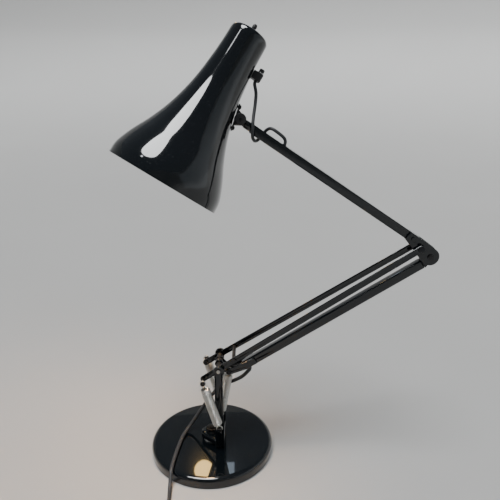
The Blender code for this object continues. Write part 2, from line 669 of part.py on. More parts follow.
def eye_ring(centre, steps=16):
    """A spring's end eye in the arms' plane."""
    section = circle((SPRING_EYE_RADIUS, 0), SPRING_WIRE, 6)
    return turned(section, centre, (0, 1, 0), steps)


def make_spring(name, foot, head, pin_radius_foot, pin_radius_head, y):
    """A tension spring's outer shape: the coil and its lower eye, and apart from them the upper eye."""
    offset = Vector((0, y, 0))
    along = (head - foot).normalized()
    low_eye = foot + offset + along * (SPRING_EYE_RADIUS - SPRING_WIRE - pin_radius_foot - GAP)
    high_eye = head + offset - along * (SPRING_EYE_RADIUS - SPRING_WIRE - pin_radius_head - GAP)
    length = (high_eye - low_eye).length
    low = SPRING_EYE_LENGTH
    high = length - SPRING_EYE_LENGTH
    inner = SPRING_RADIUS - SPRING_WALL
    coil = [
        (0, SPRING_EYE_RADIUS),
        (SPRING_WIRE, SPRING_EYE_RADIUS),
        (SPRING_WIRE * 1.5, low - 2 * MM),
        (SPRING_RADIUS * 0.75, low - 1 * MM),
        (SPRING_RADIUS, low + 1 * MM),
        (SPRING_RADIUS, high - 1.5 * MM),
        (SPRING_RADIUS * 0.75, high),
        (inner * 0.7, high),
        (inner, high - 2.5 * MM),
        (inner, low + 2 * MM),
        (0, low + 2 * MM),
    ]
    made = piece(name, turned(coil, low_eye, along, 16), foot, ZINC)
    join(made, eye_ring(low_eye))
    hook = turned(
        [(0, SPRING_EYE_RADIUS), (SPRING_WIRE, SPRING_EYE_RADIUS), (SPRING_WIRE, SPRING_EYE_LENGTH), (0, SPRING_EYE_LENGTH)],
        high_eye,
        -along,
        8,
    )
    top = piece(name + "_eye", hook, head, ZINC)
    join(top, eye_ring(high_eye))


def make_springs():
    for side_name, side in SIDES:
        make_spring("spring_" + side_name, ANCHOR, TAIL, ANCHOR_RADIUS, CRANK_PIN_RADIUS, side * OUTER_SPRING_Y)
    make_spring("spring_middle", ANCHOR, CRANK_PIN, ANCHOR_RADIUS, CRANK_PIN_RADIUS, 0)


# The shade's own frame: origin at the knuckle, X towards the shade's axis and Z towards its cap.
ROLL = Matrix.Rotation(SHADE_ROLL, 3, UPPER_ALONG)
KNUCKLE_AXIS = ROLL @ Vector((0, 1, 0))
TILT = Matrix.Rotation(SHADE_TILT, 3, KNUCKLE_AXIS)
SHADE_UP = TILT @ ROLL @ UPPER_TOP
SHADE_OUT = (TILT @ ROLL @ UPPER_ALONG).normalized()
SHADE_SPACE = Matrix((SHADE_OUT, SHADE_UP.cross(SHADE_OUT), SHADE_UP)).transposed().to_4x4()
SHADE_SPACE = Matrix.Translation(KNUCKLE) @ SHADE_SPACE

# The bell's curve: height above the mouth and flare, as shares of the length and of the flare's depth.
BELL = ((0, 1.0), (0.06, 0.985), (0.11, 0.92), (0.19, 0.77), (0.285, 0.565), (0.40, 0.365))
BELL += ((0.52, 0.215), (0.63, 0.12), (0.75, 0.058), (0.86, 0.02), (1.0, 0.0))


def shade_radius(height):
    """The shade's outer radius at a height above its mouth, on a smooth curve through the bell's points."""
    share = min(1, max(0, height / SHADE_LENGTH))
    index = max(i for i in range(len(BELL) - 1) if BELL[i][0] <= share)
    rows = [BELL[max(index - 1, 0)], BELL[index], BELL[index + 1], BELL[min(index + 2, len(BELL) - 1)]]
    (xa, ya), (xb, yb), (xc, yc), (xd, yd) = rows
    slope_b = (yc - ya) / (xc - xa)
    slope_c = (yd - yb) / (xd - xb)
    width = xc - xb
    t = (share - xb) / width
    flare = yb * (1 + 2 * t) * (1 - t) ** 2 + slope_b * width * t * (1 - t) ** 2
    flare += yc * t**2 * (3 - 2 * t) + slope_c * width * t**2 * (t - 1)
    return SHADE_CAP_RADIUS + (SHADE_MOUTH_RADIUS - SHADE_CAP_RADIUS) * flare


SHADE_AXIS_DISTANCE = KNUCKLE_STAND_OFF + shade_radius(SHADE_LENGTH - SHADE_ABOVE_KNUCKLE)


def in_shade(x, y, z):
    return SHADE_SPACE @ Vector((x, y, z))


def shade_z(height):
    """Height above the mouth, in the shade's own frame."""
    return height + SHADE_ABOVE_KNUCKLE - SHADE_LENGTH


def about_shade_axis(profile, steps=24):
    """A solid turned about the shade's axis, with heights measured above the mouth."""
    start = in_shade(SHADE_AXIS_DISTANCE, 0, shade_z(0))
    return turned(profile, start, SHADE_UP, steps)


def make_shade():
    stations = 14
    heights = [(SHADE_LENGTH - SHADE_CAP_EDGE) * index / stations for index in range(stations + 1)]
    edge_centre = (SHADE_CAP_RADIUS - SHADE_CAP_EDGE, SHADE_LENGTH - SHADE_CAP_EDGE)
    outer = [(shade_radius(height), height) for height in heights] + arc(edge_centre, SHADE_CAP_EDGE, 20, 90, 4)
    inner = arc(edge_centre, SHADE_CAP_EDGE - SHADE_WALL, 90, 20, 3)
    inner += [(shade_radius(height) - SHADE_WALL, height) for height in reversed(heights)]
    bore = SWITCH_NECK_RADIUS + GAP
    profile = outer + [(bore, SHADE_LENGTH), (bore, SHADE_LENGTH - SHADE_WALL)] + inner
    shell = piece("shade_shell", about_shade_axis(profile, 48), KNUCKLE, ENAMEL)

    lean = math.atan2(shade_radius(SHADE_LENGTH - SHADE_ABOVE_KNUCKLE - 12 * MM)
                      - shade_radius(SHADE_LENGTH - SHADE_ABOVE_KNUCKLE + 12 * MM), 24 * MM)
    wall_x = SHADE_AXIS_DISTANCE - shade_radius(SHADE_LENGTH - SHADE_ABOVE_KNUCKLE)
    foot_place = Matrix.Translation((wall_x - BRACKET_STAND_OFF, 0, 0)) @ Matrix.Rotation(lean, 4, "Y")
    foot_space = SHADE_SPACE @ foot_place
    half = BRACKET_LENGTH / 2
    inner_ear = EYE_THICKNESS / 2 + GAP
    wide = inner_ear + EAR_THICKNESS
    outline = [(-wide, 3 * MM - half), (3 * MM - wide, -half), (wide - 3 * MM, -half), (wide, 3 * MM - half)]
    outline += [(wide, half - 3 * MM), (wide - 3 * MM, half), (3 * MM - wide, half), (-wide, half - 3 * MM)]
    lay = Matrix(((0, 0, 1, 0), (1, 0, 0, 0), (0, 1, 0, 0), (0, 0, 0, 1)))
    bracket = piece("shade_bracket", prism(outline, -BRACKET_FOOT, 0, foot_space @ lay), KNUCKLE, ENAMEL)
    stand = Matrix(((1, 0, 0, 0), (0, 0, -1, 0), (0, 1, 0, 0), (0, 0, 0, 1)))
    corners = [flat(foot_place @ Vector((-BRACKET_FOOT / 2, 0, rise * MM))) for rise in (-10, 10)]
    for side in (-1, 1):
        ear = hull(circle((0, 0), EAR_RADIUS, 20) + corners)
        low, high = mirrored(side, inner_ear, inner_ear + EAR_THICKNESS)
        join(bracket, prism(ear, low, high, SHADE_SPACE @ stand))
    drill(bracket, KNUCKLE, BOLT_RADIUS, 40 * MM, KNUCKLE_AXIS)
    for index, end in enumerate(("upper", "lower")):
        rise = BRACKET_SCREW_SPACING * (0.5 - index)
        spot = foot_space @ Vector((0, 0, rise))
        out = (foot_space.to_3x3() @ Vector((-1, 0, 0))).normalized()
        base = spot + out * (BRACKET_FOOT + GAP)
        rows = stepped(
            (1.6 * MM, -BRACKET_FOOT - SHADE_WALL - 4 * MM, 0),
            (SCREW_HEAD_RADIUS, 0, 1.4 * MM),
            (SCREW_HEAD_RADIUS * 0.6, 1.4 * MM, 2.2 * MM),
        )
        piece("bracket_screw_" + end, turned(rows, base, out, 16), KNUCKLE, PLASTIC)
        drill(bracket, spot, 1.6 * MM, 16 * MM, out)
        drill(shell, spot, 1.6 * MM, 16 * MM, out)
    bolt_end = inner_ear + EAR_THICKNESS + GAP
    rows = stepped(
        (3.6 * MM, -bolt_end - 2.2 * MM, -bolt_end),
        (BOLT_RADIUS, -bolt_end, bolt_end + 5.5 * MM),
    )
    piece("knuckle_bolt", turned(rows, KNUCKLE, -KNUCKLE_AXIS, 16), KNUCKLE, ZINC)
    knob = [
        (BOLT_RADIUS + GAP, bolt_end),
        (KNOB_RADIUS - 0.8 * MM, bolt_end),
        (KNOB_RADIUS, bolt_end + 0.8 * MM),
        (KNOB_RADIUS, bolt_end + 3.8 * MM),
        (KNOB_RADIUS - 1 * MM, bolt_end + 4.8 * MM),
        (BOLT_RADIUS + GAP, bolt_end + 4.8 * MM),
    ]
    piece("knuckle_knob", turned(knob, KNUCKLE, -KNUCKLE_AXIS, 24), KNUCKLE, PLASTIC)
    return shell


def make_grip(shell):
    """The shade lead's clamp: a boss on the neck, its screw, and the hole that the lead goes in by."""
    z = SHADE_ABOVE_KNUCKLE - GRIP_BELOW_CAP
    wall_x = SHADE_AXIS_DISTANCE - shade_radius(SHADE_LENGTH - GRIP_BELOW_CAP)
    wide = GRIP_WIDTH / 2
    tall = GRIP_HEIGHT / 2
    reach = wall_x - GRIP_REACH
    face = wall_x + 2.4 * MM
    outline = [(reach + 2 * MM, -wide), (face, -wide), (face, wide), (reach + 2 * MM, wide), (reach, wide - 2 * MM)]
    outline.append((reach, 2 * MM - wide))
    place = SHADE_SPACE @ Matrix.Translation((0, 0, z))
    grip = piece("cord_grip", prism(outline, -tall, tall, place), KNUCKLE, PLASTIC)
    soften(grip, 0.8 * MM)
    neck = [(shade_radius(height) + GAP, height) for height in (SHADE_LENGTH - GRIP_BELOW_CAP - 20 * MM,
            SHADE_LENGTH - GRIP_BELOW_CAP + 20 * MM)]
    saddle = [(0, neck[0][1])] + neck + [(0, neck[1][1])]
    cut(grip, piece("cut_cord_grip", about_shade_axis(saddle, 56), (0, 0, 0), None, True))
    lead_x = reach + 4.6 * MM
    drill(grip, in_shade(lead_x, 0, z - tall), LEAD_RADIUS + GAP, 7 * MM, SHADE_UP)
    top = in_shade(lead_x, 0, z + tall)
    washer = sleeve(4.4 * MM, 1.5 * MM + GAP, GAP, GAP + GRIP_WASHER)
    piece("grip_washer", turned(washer, top, SHADE_UP, 20), KNUCKLE, ZINC)
    seat = GRIP_WASHER + 2 * GAP
    rows = stepped((1.5 * MM, -3.2 * MM, seat), (3.3 * MM, seat, seat + 4.4 * MM))
    piece("grip_screw", turned(rows, top, SHADE_UP, 16), KNUCKLE, PLASTIC)
    drill(grip, top, 1.5 * MM, 7 * MM, SHADE_UP)
    return in_shade(lead_x, 0, z - tall)


def make_light():
    roof = SHADE_LENGTH - SHADE_WALL
    holder_top = roof - GAP
    holder_low = holder_top - HOLDER_LENGTH
    socket = BULB_CAP_RADIUS + 2 * GAP
    neck = SWITCH_NECK_RADIUS + GAP
    deep = holder_low + SOCKET_DEPTH
    holder = [(neck, holder_top), (neck, deep), (socket, deep), (socket, holder_low), (HOLDER_RADIUS, holder_low)]
    holder += [(HOLDER_RADIUS, holder_top - 8 * MM), (HOLDER_RADIUS - 4 * MM, holder_top)]
    piece("lampholder", about_shade_axis(holder, 28), KNUCKLE, (GREY, 0.5, 0.0))
    cap_top = deep - 1 * MM
    globe_top = holder_low - 1 * MM
    globe_z = cap_top - BULB_LENGTH + BULB_RADIUS
    bulb = arc((0, globe_z), BULB_RADIUS, -90, 52, 12)
    bulb[0] = (0, bulb[0][1])
    bulb += [(BULB_CAP_RADIUS, globe_top - 4 * MM), (BULB_CAP_RADIUS, cap_top - 3 * MM), (5 * MM, cap_top)]
    bulb += [(4 * MM, cap_top), (4 * MM, cap_top - 1 * MM), (BULB_CAP_RADIUS - BULB_WALL, cap_top - 4 * MM)]
    bulb += [(BULB_CAP_RADIUS - BULB_WALL, globe_top - 4 * MM)]
    bulb += arc((0, globe_z), BULB_RADIUS - BULB_WALL, 52, -90, 12)[:-1] + [(0, globe_z - BULB_RADIUS + BULB_WALL)]
    piece("bulb", about_shade_axis(bulb, 28), KNUCKLE, ((0.9, 0.85, 0.75), 0.2, 0.0))
    neck_top = SHADE_LENGTH + 4.5 * MM
    nut = [
        (SWITCH_NECK_RADIUS, deep + GAP),
        (SWITCH_NECK_RADIUS, SHADE_LENGTH + GAP),
        (6 * MM, SHADE_LENGTH + GAP),
        (6 * MM, SHADE_LENGTH + GAP + 2 * MM),
        (SWITCH_NECK_RADIUS, SHADE_LENGTH + GAP + 2.2 * MM),
        (SWITCH_NECK_RADIUS, neck_top),
        (BUTTON_RADIUS + GAP, neck_top),
        (BUTTON_RADIUS + GAP, deep + GAP),
    ]
    piece("switch_nut", about_shade_axis(nut, 20), KNUCKLE, ZINC)
    button = stepped((BUTTON_RADIUS, deep + 3.5 * MM, neck_top + 3 * MM), (BUTTON_RADIUS - 0.6 * MM, neck_top + 3 * MM, neck_top + BUTTON_STANDS))
    piece("switch_button", about_shade_axis(button, 16), in_shade(SHADE_AXIS_DISTANCE, 0, shade_z(neck_top)), PLASTIC)


def make_stem():
    rows = stepped(
        (SPIGOT_RADIUS, TUBE_END - SPIGOT_LENGTH, TUBE_END + GAP),
        (STEM_RADIUS, TUBE_END + GAP, UPPER_ARM_LENGTH - KNOB_RADIUS - 0.6 * MM),
    )
    stem = piece("shade_stem", turned(rows, UPPER_AXIS, UPPER_ALONG, 20), KNUCKLE, ENAMEL)
    rolled = Matrix((ROLL @ UPPER_ALONG, -KNUCKLE_AXIS, ROLL @ UPPER_TOP)).transposed().to_4x4()
    stand = Matrix(((1, 0, 0, 0), (0, 0, -1, 0), (0, 1, 0, 0), (0, 0, 0, 1)))
    reach = -KNOB_RADIUS - 2.6 * MM
    neck = [(reach, 0.8 * MM - STEM_RADIUS), (reach, STEM_RADIUS - 0.8 * MM)]
    eye = hull(circle((0, 0), EYE_RADIUS, 20) + neck)
    place = Matrix.Translation(KNUCKLE) @ rolled @ stand
    join(stem, prism(eye, -EYE_THICKNESS / 2, EYE_THICKNESS / 2, place))
    drill(stem, KNUCKLE, BOLT_RADIUS, 40 * MM, KNUCKLE_AXIS)


def make_mains_cord(exit_point):
    inside = exit_point + LOWER_UP * 3 * MM
    out = exit_point - LOWER_UP * 4 * MM
    ring_edge = COIL_MIDDLE_RADIUS + COIL_HALF_WIDTH
    lane = COIL_CENTRE.x - COIL_MIDDLE_RADIUS - COIL_SPREAD
    near = abs(lane - COIL_CENTRE.x) - CORD_RADIUS
    stop = COIL_CENTRE.y + math.sqrt(ring_edge**2 - near**2) + GAP
    route = [
        (54.5, 0.8, 130.5), (50.0, 1.8, 124.5), (43.5, 4.0, 117.5), (33.0, 8.0, 109.5), (22.0, 12.0, 102.5),
        (11.0, 15.5, 93.0), (1.0, 17.5, 80.5), (-9.0, 18.3, 65.5), (-17.0, 18.8, 52.5), (-24.5, 18.8, 40.0),
        (-32.0, 17.0, 28.5), (-39.0, 11.5, 20.9), (-43.5, 0.0, 19.1), (-46.5, -16.0, 19.1), (-49.9, -44.6, 19.1),
        (-51.4, -62.0, 19.3), (-52.0, -73.5, 17.9), (-52.2, -82.0, 11.0), (-52.1, -89.5, 5.2), (-51.6, -99.0, 3.05),
        (-50.6, -112.0, 3.05), (-50.1, -132.0, 3.05),
    ]
    points = [inside, out] + [Vector(point) * MM for point in route] + [Vector((lane, stop, 3.05 * MM))]
    cord("mains_cord", smooth_curve(points, 8 * MM), CORD_RADIUS, (0, 0, 0), (SHADOW, 0.55, 0.0), 2)
    inner = COIL_MIDDLE_RADIUS - COIL_HALF_WIDTH
    corner = 2.5 * MM
    ring = [
        (inner + corner, COIL_BOTTOM), (ring_edge - corner, COIL_BOTTOM), (ring_edge, COIL_BOTTOM + corner),
        (ring_edge, COIL_TOP - corner), (ring_edge - corner, COIL_TOP), (inner + corner, COIL_TOP),
        (inner, COIL_TOP - corner), (inner, COIL_BOTTOM + corner),
    ]
    piece("mains_cord_coil", turned(ring, COIL_CENTRE, steps=40), (0, 0, 0), (SHADOW, 0.55, 0.0))
    half = COIL_HALF_WIDTH + GAP
    low = COIL_BOTTOM - GAP
    high = COIL_TOP + GAP
    place = Matrix.Translation(COIL_CENTRE + Vector((COIL_MIDDLE_RADIUS, 0, 0)))
    full = half + TIE_THICKNESS
    outline = [(-full, low - TIE_THICKNESS), (full, low - TIE_THICKNESS), (full, high + TIE_THICKNESS)]
    outline.append((-full, high + TIE_THICKNESS))
    tie = piece("cord_tie", prism(outline, -TIE_WIDTH / 2, TIE_WIDTH / 2, place @ UPRIGHT), (0, 0, 0), PLASTIC)
    ring_cut = [(inner - GAP, low), (ring_edge + GAP, low), (ring_edge + GAP, high), (inner - GAP, high)]
    cut(tie, piece("cut_cord_tie", turned(ring_cut, COIL_CENTRE, steps=96), (0, 0, 0), None, True))
    width, length, thick = PLUG_SIZE
    relief = 20 * MM
    mouth = CORD_RADIUS + 0.8 * MM
    outer_turn = COIL_MIDDLE_RADIUS + COIL_SPREAD
    beside = math.sqrt(ring_edge**2 - (outer_turn - mouth) ** 2)
    start = COIL_CENTRE + Vector((beside + GAP, -outer_turn, thick / 2 + 0.2 * MM))
    sleeve_profile = [(0, 0), (mouth, 0), (5.2 * MM, relief), (0, relief)]
    corner = 5 * MM
    half = width / 2
    outline = [
        (-half + corner, 0), (half - corner, 0), (half, corner), (half, length),
        (-half, length), (-half, corner),
    ]
    along = Matrix(((0, 1, 0, 0), (-1, 0, 0, 0), (0, 0, 1, 0), (0, 0, 0, 1)))
    place = Matrix.Translation(start + Vector((relief - 2 * MM, 0, 0))) @ along
    plug = piece("plug", prism(outline, -thick / 2, thick / 2, place), (0, 0, 0), PLASTIC)
    soften(plug, 2 * MM)
    join(plug, turned(sleeve_profile, start, (1, 0, 0), 16))
    face = start + Vector((relief - 2 * MM + length, 0, 0))
    for side in (-1, 1):
        across = Vector((0, side * PLUG_PIN_SPACING / 2, 0))
        join(plug, rod(PLUG_PIN_RADIUS, face + across - Vector((1 * MM, 0, 0)), face + across + Vector((PLUG_PIN_LENGTH, 0, 0)), 12))


def make_shade_lead(grip_exit):
    """The lead from the shade's grip to the hole in the upper tube, in two runs that meet beside the stem."""
    down = -SHADE_UP
    upper = [grip_exit + SHADE_UP * 2.5 * MM, grip_exit + down * 5 * MM]
    upper += [Vector(point) * MM for point in LEAD_UPPER]
    lower = [Vector(point) * MM for point in LEAD_LOWER]
    hole = KNUCKLE - UPPER_ALONG * LEAD_HOLE_FROM_KNUCKLE + UPPER_TOP * UPPER_TUBE_WIDTH / 2
    lower += [hole + (UPPER_ALONG * a + UPPER_TOP * b) * MM for a, b in ((8.0, 8.0), (2.6, 5.2), (0.2, 0.6), (-0.4, -2.8))]
    finish = (SHADOW, 0.5, 0.0)
    cord("shade_lead_upper", smooth_curve(upper, 6 * MM), LEAD_RADIUS, KNUCKLE, finish, 2)
    cord("shade_lead_lower", smooth_curve(lower, 6 * MM), LEAD_RADIUS, KNUCKLE, finish, 2)


LEAD_UPPER = ((66.5, 9.5, 516.0), (65.0, 5.0, 503.0), (61.8, -1.5, 491.0), (60.6, -6.5, 482.5))
LEAD_LOWER = (
    (60.5, -8.0, 479.0), (60.0, -9.3, 471.0), (60.5, -7.0, 463.5), (63.5, 1.5, 458.8), (68.5, 8.8, 460.5),
    (74.0, 10.8, 467.3), (80.5, 7.0, 474.0), (86.5, 2.6, 473.5),
)


def main():
    for found in list(bpy.data.objects):
        bpy.data.objects.remove(found, do_unlink=True)
    make_base()
    make_fork()
    make_lower_arm()
    rivet_spot = make_elbow()
    make_upper_arm(rivet_spot)
    make_crank()
    cord_exit = make_push_tube()
    make_springs()
    make_stem()
    shell = make_shade()
    lead_exit = make_grip(shell)
    make_light()
    make_shade_lead(lead_exit)
    make_mains_cord(cord_exit)


main()
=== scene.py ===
# %% [markdown]
# # An architect desk lamp
# The lamp has a heavy round base, a low fork, a pair of flat link bars, two square tubes and a bell
# shade. Its moving frame comes ready made, from the imported model. All of it could be modelled
# afresh, but then nothing would move as the frame's joints do. So this lesson dresses the frame: it
# mixes the finishes, lays the cords, raises the turned shapes, winds the springs and sets the
# lights. The turned shapes and the dressed pieces ride on bodies of the frame, and the cords and
# springs stay where they are laid.

import json
import math

import bmesh
import bpy
from mathutils import Matrix, Vector

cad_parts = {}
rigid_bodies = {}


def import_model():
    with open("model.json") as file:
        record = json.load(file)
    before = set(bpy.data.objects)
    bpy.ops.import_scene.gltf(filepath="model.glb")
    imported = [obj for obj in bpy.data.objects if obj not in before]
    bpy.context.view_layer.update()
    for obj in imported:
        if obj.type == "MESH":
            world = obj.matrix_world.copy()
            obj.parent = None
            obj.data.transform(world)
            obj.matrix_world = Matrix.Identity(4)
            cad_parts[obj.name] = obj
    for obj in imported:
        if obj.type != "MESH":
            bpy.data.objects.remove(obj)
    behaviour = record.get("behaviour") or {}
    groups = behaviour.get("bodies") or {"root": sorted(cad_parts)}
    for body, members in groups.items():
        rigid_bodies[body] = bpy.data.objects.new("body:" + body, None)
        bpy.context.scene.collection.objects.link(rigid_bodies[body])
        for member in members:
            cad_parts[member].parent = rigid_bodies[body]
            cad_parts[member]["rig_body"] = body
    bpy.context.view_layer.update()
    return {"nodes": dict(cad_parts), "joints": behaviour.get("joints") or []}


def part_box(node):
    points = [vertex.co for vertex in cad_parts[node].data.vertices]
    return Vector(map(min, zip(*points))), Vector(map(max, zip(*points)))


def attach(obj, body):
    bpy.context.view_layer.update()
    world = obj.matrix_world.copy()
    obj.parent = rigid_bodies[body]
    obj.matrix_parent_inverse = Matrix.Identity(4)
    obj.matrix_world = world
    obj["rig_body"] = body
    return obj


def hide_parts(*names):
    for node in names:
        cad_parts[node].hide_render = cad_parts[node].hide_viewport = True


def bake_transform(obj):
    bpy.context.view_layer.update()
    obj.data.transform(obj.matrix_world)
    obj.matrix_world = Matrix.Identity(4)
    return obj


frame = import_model()
MM = 0.001
joints = {joint["name"]: joint for joint in frame["joints"]}

# %% [markdown]
# ## The camera
# A lamp on a desk is seen from a little above. A constraint could aim the camera, but a place and a
# tilt are easier to read: it looks along +Y, tipped down by 19 degrees, so that the base shows as
# an ellipse. The lens is a mild wide one, so the shade, which is nearer, looks a little larger.

# %% Camera
EYE_PLACE = (0.057, -0.694, 0.554)
EYE_TILT_DOWN = 19
LENS = 39.6
SENSOR_WIDTH = 36
NEAREST_SEEN = 0.02


def add_object(name, data):
    """Puts a new object that holds this data in the scene."""
    made = bpy.data.objects.new(name, data)
    bpy.context.scene.collection.objects.link(made)
    return made


eye = add_object("eye", bpy.data.cameras.new("eye"))
eye.location = EYE_PLACE
eye.rotation_euler = (math.radians(90 - EYE_TILT_DOWN), 0, 0)
eye.data.lens = LENS
eye.data.sensor_width = SENSOR_WIDTH
eye.data.clip_start = NEAREST_SEEN
bpy.context.scene.camera = eye
print("camera at", tuple(eye.location))

# %% [markdown]
# ## Small tools
# Blender's operators act on whatever is selected. They could be left out, by writing every mesh
# point by point, but then the code would hide how the shape is made by hand. So each step starts
# with nothing selected, selects what it needs, and calls the operator that a maker would click.


# %% Tools for selecting and placing
def clear_selection():
    if bpy.context.mode != "OBJECT":
        bpy.ops.object.mode_set(mode="OBJECT")
    bpy.ops.object.select_all(action="DESELECT")


def take(piece):
    """Selects one piece alone and makes it active."""
    clear_selection()
    piece.select_set(True)
    bpy.context.view_layer.objects.active = piece


def middle_of(node):
    """The middle of a frame node's box."""
    low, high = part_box(node)
    return (Vector(low) + Vector(high)) / 2


def name_it(name):
    """Names the piece that an operator has just made."""
    made = bpy.context.object
    made.name = name
    made.data.name = name
    return made


def settle(piece, place=Matrix.Identity(4)):
    """Puts a piece in its place, with the place kept in its mesh."""
    take(piece)
    piece.matrix_world = place @ piece.matrix_world
    bpy.ops.object.transform_apply(location=True, rotation=True, scale=True)


def choose(piece, test, kind="FACE"):
    """In edit mode, selects the faces or points whose middle passes a test, and counts them."""
    bpy.ops.mesh.select_mode(type=kind)
    shape = bmesh.from_edit_mesh(piece.data)
    for vert in shape.verts:
        vert.select_set(False)
    shape.select_flush(False)
    if kind == "VERT":
        chosen = [vert for vert in shape.verts if test(vert.co)]
    else:
        chosen = [face for face in shape.faces if test(face.calc_center_median())]
    for part in chosen:
        part.select_set(True)
    shape.select_flush_mode()
    bmesh.update_edit_mesh(piece.data)
    return len(chosen)


def apply_modifier(piece, kind, **settings):
    take(piece)
    step = piece.modifiers.new(kind.lower(), kind)
    for key, value in settings.items():
        setattr(step, key, value)
    bpy.ops.object.modifier_apply(modifier=step.name)


def smooth(piece, degrees=35):
    """Shades a piece smooth, except over edges sharper than this."""
    take(piece)
    bpy.ops.object.shade_smooth_by_angle(angle=math.radians(degrees))


print("tools for selecting and placing ready")

# %% [markdown]
# ### Smooth lines and round wires
# A cord or a spring's wire is one round bar along a smooth line. A Bezier curve could carry it, but
# its handles are hard to give in numbers. Here a smooth curve goes through a few chosen points, it
# is cut into even steps, and a bevelled curve through those is made a mesh.

# %% Tools for smooth lines and round wires
STEPS_BETWEEN_POINTS = 24


def smooth_line(points, spacing):
    """Evenly spaced points on a smooth curve through the given ones."""
    points = [Vector(point) for point in points]
    ends = [points[0] * 2 - points[1]] + points + [points[-1] * 2 - points[-2]]
    fine = []
    for a, b, c, d in zip(ends, ends[1:], ends[2:], ends[3:]):
        for index in range(STEPS_BETWEEN_POINTS):
            t = index / STEPS_BETWEEN_POINTS
            near = (c - a) * t + (a * 2 - b * 5 + c * 4 - d) * t**2
            fine.append((b * 2 + near + (b * 3 - a - c * 3 + d) * t**3) / 2)
    fine.append(points[-1])
    lengths = [0]
    for a, b in zip(fine, fine[1:]):
        lengths.append(lengths[-1] + (b - a).length)
    count = max(2, round(lengths[-1] / spacing))
    placed = []
    index = 0
    for step in range(count + 1):
        want = lengths[-1] * step / count
        while index < len(fine) - 2 and lengths[index + 1] < want:
            index += 1
        share = (want - lengths[index]) / (lengths[index + 1] - lengths[index])
        placed.append(fine[index].lerp(fine[index + 1], min(1, max(0, share))))
    return placed


def line_length(points):
    return sum((b - a).length for a, b in zip(points, points[1:]))


def round_wire(name, points, radius, resolution):
    """A round bar along a line, closed at both ends, as a mesh."""
    clear_selection()
    curve = bpy.data.curves.new(name, "CURVE")
    curve.dimensions = "3D"
    curve.bevel_depth = radius
    curve.bevel_resolution = resolution
    curve.use_fill_caps = True
    spline = curve.splines.new("POLY")
    spline.points.add(len(points) - 1)
    for dot, place in zip(spline.points, points):
        dot.co = (*place, 1)
    take(add_object(name, curve))
    bpy.ops.object.convert(target="MESH")
    made = name_it(name)
    smooth(made, 50)
    return made


print("tools for lines and wires ready")

# %% [markdown]
# ## Finishes
# A finish is a small tree of nodes. Each node could be added and linked by hand, in four lines or
# so, but plain sums are easier to read. The class below wraps one output of a node, and adding to
# it or multiplying it adds the right Math node.


# %% Sums as nodes
class Value:
    """One output of a node. Sums on it add Math nodes to the same finish."""

    def __init__(self, finish, socket):
        self.finish = finish
        self.socket = socket

    def math(self, operation, first, second):
        return self.finish.node(
            "ShaderNodeMath", {"operation": operation}, {0: first, 1: second}
        )

    def __add__(self, other):
        return self.math("ADD", self, other)

    def __radd__(self, other):
        return self.math("ADD", other, self)

    def __mul__(self, other):
        return self.math("MULTIPLY", self, other)

    def __rmul__(self, other):
        return self.math("MULTIPLY", other, self)

    def __pow__(self, other):
        return self.math("POWER", self, other)


print("sums as nodes ready")

# %% [markdown]
# ### A finish under way
# It holds a material's tree while it grows. Each kind of node could have a function of its own.
# Here one method adds any node, from its type, its settings and its sockets, and only the four
# patterns that come back often have short names: noise, blend, ramp and bump.

# %% A finish under way
MIX_FACTOR, MIX_FIRST, MIX_SECOND = 0, 6, 7
MIX_RESULT = 2


class Finish:
    """A material under way. node() adds any node, and done() sets the shader's own sockets."""

    def __init__(self, name):
        self.material = bpy.data.materials.new(name)
        self.material.use_nodes = True
        self.tree = self.material.node_tree
        self.shader = self.tree.nodes["Principled BSDF"]
        self.place = self.node("ShaderNodeTexCoord", {}, {}, "Object")

    def put(self, socket, value):
        if isinstance(value, Value):
            self.tree.links.new(value.socket, socket)
        elif isinstance(value, tuple) and len(value) == 3 and socket.type == "RGBA":
            socket.default_value = (*value, 1)
        else:
            socket.default_value = value

    def node(self, kind, settings, sockets, output=0):
        made = self.tree.nodes.new(kind)
        stops = settings.get("stops")
        for key, value in settings.items():
            if key != "stops":
                setattr(made, key, value)
        if stops:
            ramp = made.color_ramp.elements
            for element, (position, level) in zip(ramp, stops):
                element.position = position
                element.color = (level, level, level, 1)
        for key, value in sockets.items():
            self.put(made.inputs[key], value)
        return Value(self, made.outputs[output])

    def noise(self, scale, detail=3, stretch=None):
        place = self.place
        if stretch:
            place = self.node("ShaderNodeMapping", {}, {"Vector": place, "Scale": stretch})
        sockets = {"Vector": place, "Scale": scale, "Detail": detail}
        return self.node("ShaderNodeTexNoise", {}, sockets)

    def blend(self, factor, first, second):
        sockets = {MIX_FACTOR: factor, MIX_FIRST: first, MIX_SECOND: second}
        return self.node("ShaderNodeMix", {"data_type": "RGBA"}, sockets, MIX_RESULT)

    def ramp(self, value, low, high):
        """0 up to the low value, 1 from the high one, and a slope between."""
        return self.node("ShaderNodeValToRGB", {"stops": ((low, 0), (high, 1))}, {0: value})

    def bump(self, height, strength, distance):
        sockets = {"Strength": strength, "Distance": distance, "Height": height}
        return self.node("ShaderNodeBump", {}, sockets)

    def done(self, **values):
        for key, value in values.items():
            self.put(self.shader.inputs[key.replace("_", " ")], value)
        return self.material


finishes = {}
print("finish class ready")

# %% [markdown]
# ### Gloss black enamel
# Stoved enamel is almost a mirror, with a faint orange peel. A few specks of dust lie on it, and
# hands leave slightly duller patches. One glossy colour would look like black glass, so the
# roughness varies slowly, the dust is a noise with only its peaks kept, and a clear coat carries
# the sharp reflections. The black leans a little towards green-blue.

# %% Enamel
DUST_LIGHTER = 0.09
DUST_ROUGHER = 0.25
PATCH_ROUGHER = 0.05


